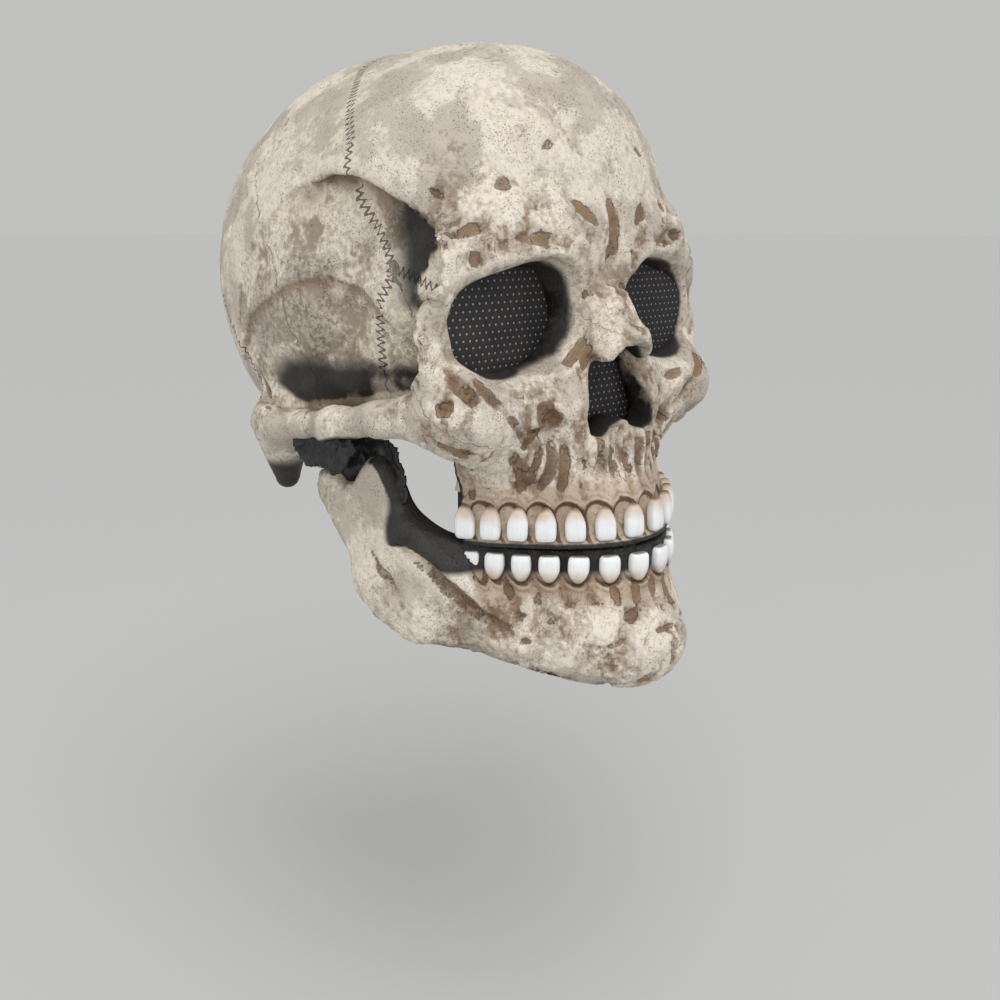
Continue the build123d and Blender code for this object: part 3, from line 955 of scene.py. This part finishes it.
# Skull: soot in the temple, the sockets, the nose, at the bite, at the rim and on the point behind the ear.
skull, points, marks = casting("skull_shell_skin", 194000, skull_skin, skull_form, skull_cuts, knob_above,
                               upper_row, skull_face, plate_step)
q = one_side(points)
x, y, z = q.T
in_temple = ramp(-outline(y, z, temple_line), 0, 2) * ramp(x, 54, 60) * ramp(-braincase(q), -1, 1)
# The temple gets more of the brown wash and painted shade.
marks["wash"] = np.minimum(marks["wash"] + 0.28 * in_temple, 1)
marks["soot"] = np.max([
    in_temple * np.maximum(ramp(-y, 42, 80), ramp(-z, 106, 130) * ramp(-y, -34, 0)),
    ramp(-socket_away(q), -0.5, 2.0) * ramp(y, -110, -101) * ramp(-y, 70, 80),
    ramp(-nose_away(q, 1), -0.5, 1.2) * ramp(y, -123, -114) * ramp(-y, 80, 90),
    ramp(-z, 186.3, 188.0),
    ramp(-skull_openings(points), -2.2, -0.6) * ramp(-z, 140, 150),
    ramp(-z, 158, 176) * ramp(y, 0, 14),
], axis=0)
marks["seam"], marks["seam_run"] = nearest_seam(q, [crown_seam, side_seam, back_seam, middle_seam])
marks["plate"] = np.clip(plate_side(q), -seam_reach, seam_reach)
paint_marks(skull, marks)

# Jaw: soot in the notch of the branch, at the bite and on the inside. It has no seams and no plate.
jaw, points, marks = casting("jaw_shell_skin", 120000, jaw_skin, jaw_form, jaw_cuts, knob_below,
                             lower_row, jaw_front)
q = one_side(points)
x, y, z = q.T
marks["soot"] = np.max([
    ramp(outline(y, z, branch_line), -5.2, -3) * ramp(-y, 40, 46) * ramp(z, -204, -196),
    ramp(z, -192.5, -190.8) * ramp(-y, 50, 60),
    ramp(-jaw_face(q), 5.0, 6.5) * ramp(y, -62, -70),
], axis=0)
marks["seam"] = marks["plate"] = np.full(len(x), float(seam_reach))
marks["seam_run"] = x
paint_marks(jaw, marks)
print("strokes and marks are on both castings")

# %% [markdown]
# ## Bone paint
# Cream latex, a mottled grey-brown colour, dark flecks, a brown wash that is also painted shade in the
# hollows, a dry brush that is also a painted highlight, the stained strokes with painted shade at their rims,
# the drawn seams and gum lines, and black where the latex turns in. The same finish serves both castings.

# %% Bone paint


def bone_paint(name, tooth_row_at):
    f = Finish(name)
    wash, stain, soot, inner = f.mark("wash"), f.mark("stain"), f.mark("soot"), f.mark("inner")
    seam, run, plate, row = f.mark("seam"), f.mark("seam_run"), f.mark("plate"), f.mark("row")
    dirt = f.mark("dirt")
    cloud = f.noise(26, 8, 0.66)
    mid = f.noise(70, 6, 0.62)
    fine = f.noise(420, 4, 0.6)
    grit = f.noise(1500, 2, 0.5)
    pale = f.mix(fine.step(0.38, 0.62), (0.56, 0.48, 0.385), (0.72, 0.64, 0.54))
    tone = (cloud * 0.6 + mid * 0.4 - (dirt - 0.35) * 0.16 + (fine - 0.5) * 0.12)
    colour = f.mix(tone.step(0.55, 0.44), pale, (0.32, 0.26, 0.20))
    blotch = (mid + (fine - 0.5) * 0.5 + (dirt - 0.4) * 0.22).step(0.55, 0.66)
    colour = f.mix(blotch * 0.7, colour, (0.18, 0.13, 0.09))
    # Brown wash with painted shade: darker the more the form stands over a point.
    hollow_shade_and_wash = (wash + (mid - 0.5) * 0.6 + (fine - 0.5) * 0.3).step(0.46, 0.98)
    colour = f.mix(hollow_shade_and_wash * 0.85, colour, (0.17, 0.105, 0.062))
    grime = (f.mark("grime") + (mid - 0.5) * 1.2 + (fine - 0.5) * 0.9).step(0.2, 0.8)
    colour = f.mix(grime * 0.8, colour, (0.215, 0.13, 0.072))
    # Dry brush with painted highlight: paler where the form stands over a point the least.
    dry_brush_and_highlight = (wash * -1 + 0.50 + (fine - 0.5) * 1.1 + (mid - 0.5) * 0.6).step(0.06, 0.40)
    colour = f.mix(dry_brush_and_highlight * 0.42, colour, (0.84, 0.77, 0.68))
    flecks = grit.step(0.40, 0.33) * mid.step(0.40, 0.60)
    colour = f.mix(flecks * 0.6, colour, (0.15, 0.10, 0.06))
    # The plate's edge: stain in the recess above it.
    recess = (plate + (mid - 0.5) * 3).step(1.0, -0.6) * plate.step(-5.5, -1.5)
    colour = f.mix(recess * 0.55, colour, (0.24, 0.15, 0.09))
    # The seam's wriggle, as a dark line with a pale lip.
    phase = run * 2.05 + f.noise(90, 3, 0.6) * 9
    wave = phase.sine() * (1.5 + (mid - 0.5) * 3.0)
    drawn = (seam - wave).size()
    line = drawn.step(1.15, 0.45) * seam.size().step(4.5, 3.0)
    lip = drawn.step(2.6, 1.2) * seam.size().step(5.5, 3.5)
    colour = f.mix(lip * 0.35, colour, (0.84, 0.77, 0.68))
    colour = f.mix(line * 0.85, colour, (0.10, 0.055, 0.03))
    # Gum lines around the tooth crowns.
    across = (row.part() - 0.5).size() * tooth_pitch
    above = (f.axis(2) * (1 / MM) - tooth_row_at.gum) * tooth_row_at.side
    up = (above + 5.5).most(0.0) * 0.9
    ring = (across * across + up * up).power(0.5) + (mid - 0.5) * 1.6
    in_rows = row.step(7.25, 7.05) * (1 - soot)
    first = (ring - 5.5).size().step(1.3, 0.3) * above.step(-12, -9)
    second = (ring - 8.0).size().step(0.9, 0.1) * above.step(-3, 0) * across.step(6.0, 4.4)
    gap = across.step(4.6, 5.4) * above.step(2, -5) * above.step(-22, -16)
    gum_wash = above.step(14, 2) * above.step(-20, -14) * (0.5 + mid * 0.6)
    colour = f.mix(gum_wash * in_rows * 0.6, colour, (0.34, 0.205, 0.10))
    colour = f.mix((second * 0.35).most(first).most(gap) * in_rows * 0.9, colour, (0.085, 0.045, 0.022))
    pool = stain * 1.05 + (mid - 0.5) * 1.5 + (fine - 0.5) * 0.9
    brown = f.mix(cloud.step(0.40, 0.60), (0.135, 0.075, 0.040), (0.235, 0.140, 0.072))
    colour = f.mix(pool.step(0.28, 0.66) * stain.step(0.05, 0.35) * 0.88, colour, brown)
    # Painted shade: a dark rim along the edge of each stained pit.
    edge = (pool - 0.42).size().step(0.14, 0.02) * stain.step(0.1, 0.4)
    colour = f.mix(edge * 0.75, colour, (0.060, 0.032, 0.018))
    black = (soot + (mid - 0.5) * 0.5 * soot + (fine - 0.5) * 0.2 * soot).step(0.18, 0.75)
    colour = f.mix(black * 0.97, colour, (0.012, 0.011, 0.011))
    raw = f.mix(mid, (0.62, 0.50, 0.36), (0.70, 0.60, 0.45))
    colour = f.mix(inner.step(0.3, 0.7) * (1 - black), colour, raw)
    height = mid * 0.7 + fine * 0.45 + grit * 0.12 - line * 1.2 - flecks * 0.3 - first * in_rows * 0.8
    height = height - pool.step(0.2, 0.6) * 0.5
    rough = 0.62 + (mid - 0.5) * 0.25 - black * 0.12
    return f.finish(colour, rough, height, 0.0012, 0.8, {"Specular IOR Level": 0.35})


for piece, body, paint_name, row in ((skull, "skull", "bone_upper", upper_row),
                                     (jaw, "jaw", "bone_lower", lower_row)):
    piece.data.materials.append(bone_paint(paint_name, row))
    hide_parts(f"{body}_shell")
    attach(piece, body)
print("both castings are painted")

# %% [markdown]
# ## Teeth
# Each tooth is a casting detail that stands out of the gum by 3 mm. A round primitive is squared at the
# biting edge and left round at the gum, and the copies follow the curve of the row, each a little different.

# %% Teeth


def tooth_shape(half_width, height, depth):
    """A tooth's points and faces: x across, y outwards (negative), z from the biting edge up."""
    bpy.ops.object.select_all(action="DESELECT")
    bpy.ops.mesh.primitive_uv_sphere_add(segments=36, ring_count=18, radius=1, rotation=(math.pi / 2, 0, 0))
    ball = bpy.context.object
    bpy.ops.object.transform_apply(rotation=True)
    p = vectors_of(ball, "co")
    faces = [tuple(face.vertices) for face in ball.data.polygons]
    bpy.data.objects.remove(ball)
    angle = np.arctan2(p[:, 2], p[:, 0])
    power = 1.9 + 3.4 * ramp(-np.sin(angle), -0.1, 0.7)
    reach = (np.abs(np.cos(angle)) ** power + np.abs(np.sin(angle)) ** power) ** (-1 / power)
    across, up, out = p[:, 0] * reach, p[:, 2] * reach, p[:, 1]
    out = np.sign(out) * np.abs(out) ** 0.62
    narrow = 1 - 0.16 * ramp(up, -0.2, 1.0)
    return np.column_stack([across * half_width * narrow, out * depth, (up + 1) * height / 2]), faces


def tooth_row(name, body, row, edge, height, seed):
    """Seven teeth a side, from the biting edge to the gum."""
    chance = np.random.default_rng(seed)
    points, faces, crown = [], [], []
    xs = np.linspace(0, 75, 3000)
    lengths = row_length(xs, row.spread)
    for side in (-1, 1):
        for number in range(7):
            x = np.interp(first_tooth + (tooth_step - tooth_less * number) * number, lengths, xs)
            turn = math.atan(2 * x / row.spread)
            half_width = (4.6 - 0.07 * number) * chance.uniform(0.95, 1.02)
            shape, shape_faces = tooth_shape(half_width, height * chance.uniform(0.96, 1.02), 3.0)
            lean = chance.uniform(-0.04, 0.04)
            level = shape[:, 2] / height
            shape[:, 0] += lean * shape[:, 2]
            shape[:, 1] += (1 - level) * -0.9 + 0.6
            c, t = math.cos(turn), math.sin(turn)
            place = np.column_stack([
                side * (x + shape[:, 0] * c - shape[:, 1] * t),
                row.front + x * x / row.spread + shape[:, 0] * t + shape[:, 1] * c,
                edge + row.side * shape[:, 2],
            ])
            start = sum(len(p) for p in points)
            flip = (side < 0) != (row.side < 0)
            points.append(place)
            crown.append(level)
            faces += [tuple(start + c for c in (face[::-1] if flip else face)) for face in shape_faces]
    piece = new_piece(name, np.concatenate(points), faces, 60)
    paint_marks(piece, {"crown": np.concatenate(crown)})
    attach(piece, body)
    return piece


upper_teeth = tooth_row("upper_teeth", "skull", upper_row, -186.0, 14.5, 11)
lower_teeth = tooth_row("lower_teeth", "jaw", lower_row, -192.0, 12.5, 12)


def enamel_paint():
    f = Finish("enamel")
    crown = f.mark("crown")
    streak = f.streaks((900, 900, 120), 4.0)
    cloud = f.noise(160, 3)
    colour = f.mix(streak.step(0.35, 0.7) * 0.35, (0.86, 0.87, 0.88), (0.70, 0.70, 0.70))
    colour = f.mix((crown + (cloud - 0.5) * 0.5).step(0.40, 0.98) * 0.8, colour, (0.52, 0.36, 0.22))
    colour = f.mix((crown + (cloud - 0.5) * 0.2).step(0.86, 1.0) * 0.9, colour, (0.13, 0.07, 0.035))
    colour = f.mix((crown + (cloud - 0.5) * 0.08).step(0.05, 0.0) * 0.8, colour, (0.05, 0.04, 0.035))
    return f.finish(colour, 0.38 + cloud * 0.2, streak * 0.6 + cloud * 0.4, 0.0004, 0.5)


enamel = enamel_paint()
for piece in (upper_teeth, lower_teeth):
    piece.data.materials.append(enamel)
print("28 teeth")

# %% [markdown]
# ## Black latex at the hinge
# Between the jaw and the cheek bone the real mask has crumpled black latex. One flap goes with the jaw and
# closes the notch, and a cover hangs from the skull in front of the press studs.

# %% Flaps


def black_latex():
    f = Finish("black_latex")
    cloud = f.noise(90, 4)
    dust = f.noise(700, 3)
    colour = f.mix(dust.step(0.5, 0.75) * 0.5, (0.011, 0.011, 0.012), (0.035, 0.034, 0.033))
    return f.finish(colour, 0.34 + cloud * 0.25, cloud * 0.7 + dust * 0.2, 0.0008, 0.6)


soft_black = black_latex()


def cut_away(piece, gone):
    """Deletes the points that are marked as gone."""
    bpy.ops.object.mode_set(mode="EDIT")
    bpy.ops.mesh.select_mode(type="VERT")
    bpy.ops.mesh.select_all(action="DESELECT")
    bpy.ops.object.mode_set(mode="OBJECT")
    for vertex, out in zip(piece.data.vertices, gone):
        vertex.select = bool(out)
    bpy.ops.object.mode_set(mode="EDIT")
    bpy.ops.mesh.delete(type="VERT")
    bpy.ops.object.mode_set(mode="OBJECT")


def crumpled(name, body, edge_line, x_at, bulge, seed):
    """A crumpled flap in a plane square to X, mirrored for the other side."""
    made = []
    for side, hand in ((-1, "right"), (1, "left")):
        bpy.ops.object.select_all(action="DESELECT")
        bpy.ops.mesh.primitive_grid_add(x_subdivisions=52, y_subdivisions=44, size=1)
        flap = bpy.context.object
        flap.name = f"{name}_{hand}"
        line = np.array(edge_line, float)
        low, high = line.min(0), line.max(0)
        grid = points_of(flap) * MM
        y, z = (low + (grid[:, :2] + 0.5) * (high - low)).T
        away = outline(y, z, line)
        cut_away(flap, away > 0)
        y, z = y[away <= 0], z[away <= 0]
        p = np.column_stack([np.full(len(y), seed * 20.0), y, z])
        folds = gnarl(p, np.array([14, 14, 14]), 3) * 3.6 + gnarl(p + 50, np.array([6, 6, 6]), 2) * 0.8
        x = x_at + bulge * np.sin(np.clip((z - low[1]) / (high[1] - low[1]), 0, 1) * math.pi) - folds
        move_points(flap, np.column_stack([side * x, y, z]))
        if side < 0:
            edit_all(bpy.ops.mesh.flip_normals)
        apply(flap, "SOLIDIFY", thickness=1.2 * MM, offset=-1)
        bpy.ops.object.shade_smooth()
        flap.data.materials.append(soft_black)
        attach(flap, body)
        made.append(flap)
    return made


crumpled("hinge_flap", "jaw", [
    (-62, -172), (-57, -150), (-40, -147), (-8, -150), (-1, -160), (-3, -172), (-14, -182), (-32, -184),
    (-50, -184),
], 72.5, 0.0, 3)  # fmt: skip
covers = crumpled("hinge_cover", "skull", [
    (-44, -152), (-38, -142), (-4, -143), (4, -150), (0, -160), (-8, -165), (-18, -163), (-26, -166),
    (-34, -163),
], 83.5, 1.0, 5)  # fmt: skip
for flap, hand in zip(covers, ("right", "left")):
    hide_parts(f"hinge_tab_{hand}")
print("flaps and covers")

# %% [markdown]
# ## Screens
# The wearer looks through black cloth with a grid of fine holes, stretched behind the sockets and the nose.

# %% Screens


def screen_cloth():
    f = Finish("screen_cloth")
    hole_across, hole_up = 0.0033, 0.0028
    x, z = f.axis(0) * (1 / hole_across), f.axis(2) * (1 / hole_up)
    odd = f.node("Math", {"operation": "MODULO"}, {0: z.whole().size(), 1: 2.0})
    u = (x + odd * 0.5 + 100.0).part() - 0.5
    v = (z + 100.0).part() - 0.5
    away = (u * u + v * v * 0.75).power(0.5)
    dot = away.step(0.17, 0.10)
    cloud = f.noise(60, 3)
    weave = f.noise(2600, 1)
    colour = f.mix(cloud.step(0.4, 0.7), (0.010, 0.009, 0.010), (0.024, 0.018, 0.018))
    colour = f.mix(dot * (0.25 + cloud), colour, (0.30, 0.29, 0.30))
    return f.finish(colour, 0.75, weave * 0.4 - away.step(0.35, 0.12) * 0.8, 0.0004, 0.6)


cloth = screen_cloth()


def screen(name, node, middle, half, away, y_at):
    """A stretched sheet behind an opening, slightly bowed outwards."""
    bpy.ops.object.select_all(action="DESELECT")
    bpy.ops.mesh.primitive_grid_add(x_subdivisions=44, y_subdivisions=36, size=1)
    piece = bpy.context.object
    piece.name = name
    grid = points_of(piece) * MM
    p = np.column_stack([middle[0] + grid[:, 0] * 2 * half[0], np.full(len(grid), y_at),
                         middle[1] + grid[:, 1] * 2 * half[1]])
    out = away(one_side(p)) > 2.2
    cut_away(piece, out)
    p = p[~out]
    bow = np.clip(-away(one_side(p)) / min(half), 0, 1)
    p[:, 1] -= 2.2 * np.sqrt(bow)
    move_points(piece, p)
    apply(piece, "SOLIDIFY", thickness=0.6 * MM, offset=1)
    edit_all(bpy.ops.mesh.normals_make_consistent, inside=False)
    bpy.ops.object.shade_smooth()
    piece.data.materials.append(cloth)
    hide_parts(node)
    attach(piece, "skull")


for side, hand in ((-1, "right"), (1, "left")):
    screen(f"eye_screen_cloth_{hand}", f"eye_screen_{hand}", (side * socket_middle[0], socket_middle[1]),
           (35, 29), socket_away, -88.6)
screen("nose_screen_cloth", "nose_screen", (0, -127), (24, 22), nose_away, -101.6)
print("three screens")

# %% [markdown]
# ## What carries the mask
# Foam blocks with a skin-like surface fit between the latex and the head. Each is a rounded block that is
# pushed back wherever it would come through the latex, so it lies against the real inner wall.

# %% Foam


def foam_paint():
    f = Finish("foam")
    cells = f.node("TexVoronoi", {"feature": "F1"}, {"Vector": f.place, "Scale": 900.0}, 0)
    cloud = f.noise(60, 4)
    colour = f.mix(cloud.step(0.35, 0.7), (0.020, 0.020, 0.022), (0.050, 0.048, 0.047))
    colour = f.mix(cells.step(0.35, 0.15) * 0.5, colour, (0.006, 0.006, 0.006))
    return f.finish(colour, 0.9, cells, 0.0006, 0.5)


def keep_inside(points, form, gap=wall + 0.6):
    """Moves points that are nearer to the form's outside than the gap back along its slope."""
    for _ in range(5):
        value, slope = form(points), field_slope(form, points)
        size = np.maximum(np.linalg.norm(slope, axis=1), 0.3)[:, None]
        points = points - np.maximum(value + gap, 0)[:, None] * slope / size**2
    return points


foam = foam_paint()


def block(name, node, body, form, middle, size, round_by=0.28):
    """A rounded block that is kept inside the latex."""
    bpy.ops.object.select_all(action="DESELECT")
    bpy.ops.mesh.primitive_cube_add(size=2, location=(0, 0, 0))
    piece = bpy.context.object
    piece.name = name
    bpy.ops.object.mode_set(mode="EDIT")
    bpy.ops.mesh.subdivide(number_cuts=13)
    bpy.ops.object.mode_set(mode="OBJECT")
    p = points_of(piece) * MM
    half = np.array(size) / 2
    soft = min(half) * 2 * round_by
    inner_box = np.clip(p * half, -(half - soft), half - soft)
    away = p * half - inner_box
    length = np.maximum(np.linalg.norm(away, axis=1), 1e-9)[:, None]
    p = inner_box + away / length * np.minimum(length, soft)
    p += 0.25 * patches(p + np.array(middle), (7, 7, 7), 3)[:, None] * away / length
    move_points(piece, keep_inside(p + np.array(middle), form))
    bpy.ops.object.shade_smooth()
    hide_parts(node)
    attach(piece, body)
    return piece


def pad(*about, **more):
    piece = block(*about, **more)
    piece.data.materials.append(foam)


pad("crown_foam", "crown_pad", "skull", skull_form, (0, 0, 5.5), (88, 88, 11), round_by=0.4)
pad("forehead_foam", "forehead_pad", "skull", skull_form, (0, -94, -38), (84, 10, 28))
pad("occiput_foam", "occiput_pad", "skull", skull_form, (0, 103, -67), (68, 10, 30))
pad("temple_foam_right", "temple_pad_right", "skull", skull_form, (-80, 3, -59), (8, 42, 30))
pad("temple_foam_left", "temple_pad_left", "skull", skull_form, (80, 3, -59), (8, 42, 30))
pad("chin_foam", "chin_pad", "jaw", jaw_form, (0, -127, -226), (48, 10, 40))
print("six foam pads")

# %% [markdown]
# ## Bands and straps
# Woven elastic is a flat ribbon with a thick edge. Its rib and its weave come from the material, along the
# ribbon's own length.

# %% Ribbons


def webbing_paint(name, ground):
    f = Finish(name)
    along, across = f.mark("along"), f.mark("across")
    cord = (across * 5.2).sine()
    pick = (along * 4.4 + cord * 0.8).sine()
    fuzz = f.noise(1500, 2)
    colour = f.mix((pick * 0.5 + 0.5) * 0.5 + fuzz * 0.3, ground, tuple(c * 2.6 + 0.01 for c in ground))
    return f.finish(colour, 0.85, cord * 0.3 + pick * 0.5 + fuzz * 0.3, 0.0003, 0.8)


def curve_points(path, step=2.0):
    """A smooth curve through the path's points, at even steps."""
    path = np.array(path, float)
    ends = np.concatenate([[path[0] * 2 - path[1]], path, [path[-1] * 2 - path[-2]]])
    made = []
    for p0, p1, p2, p3 in zip(ends[:-3], ends[1:-2], ends[2:-1], ends[3:]):
        t = np.linspace(0, 1, 24, endpoint=False)[:, None]
        made.append(0.5 * (2 * p1 + (p2 - p0) * t + (2 * p0 - 5 * p1 + 4 * p2 - p3) * t**2
                           + (3 * p1 - p0 - 3 * p2 + p3) * t**3))
    made = np.concatenate(made + [path[-1:]])
    run = np.concatenate([[0], np.cumsum(np.linalg.norm(np.diff(made, axis=0), axis=1))])
    even = np.linspace(0, run[-1], max(int(run[-1] / step), 4) + 1)
    return np.column_stack([np.interp(even, run, made[:, i]) for i in range(3)]), even


def ribbon(name, path, wide_along, width, thickness, material):
    """A flat band along a path; wide_along is the direction of its width."""
    middle, run = curve_points(path)
    tangent = np.gradient(middle, axis=0)
    tangent /= np.linalg.norm(tangent, axis=1)[:, None]
    wide = np.array(wide_along, float) - tangent * (tangent @ np.array(wide_along, float))[:, None]
    wide /= np.linalg.norm(wide, axis=1)[:, None]
    thin = np.cross(tangent, wide)
    us = np.linspace(-1, 1, 13)
    edge = 1 + 0.12 * np.exp(-(((np.abs(us) - 0.86) / 0.06) ** 2))
    profile = [(u, 0.5 * e) for u, e in zip(us, edge)] + [(u, -0.5 * e) for u, e in zip(us[::-1], edge[::-1])]
    count = len(profile)
    points = np.concatenate([[m + w * u * width / 2 + t * v * thickness for u, v in profile]
                             for m, w, t in zip(middle, wide, thin)])
    last = (len(middle) - 1) * count
    faces = []
    for ring in range(0, last, count):
        for j in range(count):
            after = (j + 1) % count
            faces.append((ring + j, ring + after, ring + count + after, ring + count + j))
    faces += [tuple(range(count))[::-1], tuple(last + j for j in range(count))]
    piece = new_piece(name, points, faces, 50)
    edit_all(bpy.ops.mesh.normals_make_consistent, inside=False)
    across = np.tile([u * width / 2 for u, v in profile], len(middle))
    paint_marks(piece, {"along": np.repeat(run, count), "across": across})
    piece.data.materials.append(material)
    return piece, run[-1] * MM


webbing = webbing_paint("webbing_black", (0.016, 0.016, 0.018))


def both_sides(half):
    """A path from its right half, which ends in the middle, and the same mirrored."""
    return half + [(-x, y, z) for x, y, z in half[-2::-1]]


band_path = both_sides([(-76, -18, -102), (-76.5, 8, -102), (-71, 45, -102), (-57, 74, -102), (-34, 91, -102),
                        (0, 94, -102)])
band, length = ribbon("headband_ribbon", band_path, (0, 0, 1), 20, 1.2, webbing)
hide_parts("headband")
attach(band, "skull")
strap_path = both_sides([(-51.2, -80, -207), (-50.5, -80, -216), (-44, -80, -223), (-31, -80, -229),
                         (0, -80, -229.5)])
strap, length = ribbon("chin_strap_ribbon", strap_path, (0, 1, 0), 18, 1.5, webbing)
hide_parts("chin_strap")
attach(strap, "jaw")
for side, hand in ((-1, "right"), (1, "left")):
    path = [(side * x, -77, z) for x, z in ((51.1, -158), (51.3, -175), (51.3, -190), (51.1, -207))]
    elastic, length = ribbon(f"jaw_elastic_ribbon_{hand}", path, (0, 1, 0), 10, 1.2, webbing)
    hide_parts(f"jaw_elastic_{hand}")
    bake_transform(elastic)
print("headband, strap and elastics")

# %% [markdown]
# ## Small hard parts
# The slider is moulded black plastic and the press studs are nickel. The patches that hold the straps are
# scraps of the same latex, glued to the inner wall.

# %% Finishes of the parts that stay as built


def plastic_paint():
    f = Finish("black_plastic")
    orange = f.noise(900, 2)
    scuff = f.noise(120, 5, 0.7)
    colour = f.mix(scuff.step(0.55, 0.75) * 0.4, (0.012, 0.012, 0.013), (0.05, 0.05, 0.052))
    return f.finish(colour, 0.32 + scuff * 0.25, orange, 0.00015, 0.4)


def nickel_paint():
    f = Finish("nickel")
    haze = f.noise(400, 4)
    brushed = f.streaks((300, 2400, 2400), 3.0)
    colour = f.mix(haze.step(0.4, 0.8), (0.62, 0.60, 0.56), (0.40, 0.37, 0.33))
    return f.finish(colour, 0.24 + haze * 0.2, brushed, 0.0001, 0.4, {"Metallic": 1.0})


def scrap_paint():
    f = Finish("latex_scrap")
    cloud = f.noise(120, 5)
    grain = f.noise(1200, 2)
    colour = f.mix(cloud.step(0.35, 0.7), (0.60, 0.48, 0.33), (0.70, 0.60, 0.45))
    return f.finish(colour, 0.6, cloud * 0.6 + grain * 0.3, 0.0005, 0.6)


def give(node, material):
    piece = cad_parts[node]
    piece.data.materials.clear()
    piece.data.materials.append(material)


plastic, nickel, scrap = plastic_paint(), nickel_paint(), scrap_paint()
give("headband_slider", plastic)
for hand in ("right", "left"):
    give(f"snap_socket_{hand}", nickel)
    give(f"snap_stud_{hand}", nickel)
for side, hand in ((-1, "right"), (1, "left")):
    for node, body, form, middle, size in (
        ("headband_patch", "skull", skull_form, (79.5, -16, -102), (3, 26, 26)),
        ("jaw_elastic_patch", "skull", skull_form, (53.2, -77, -158), (3, 16, 22)),
        ("chin_strap_patch", "jaw", jaw_form, (53.6, -80, -205), (3, 24, 22)),
    ):
        place = (side * middle[0], *middle[1:])
        piece = block(f"{node}_{hand}_scrap", f"{node}_{hand}", body, form, place, size)
        piece.data.materials.append(scrap)
print("slider, studs and patches")
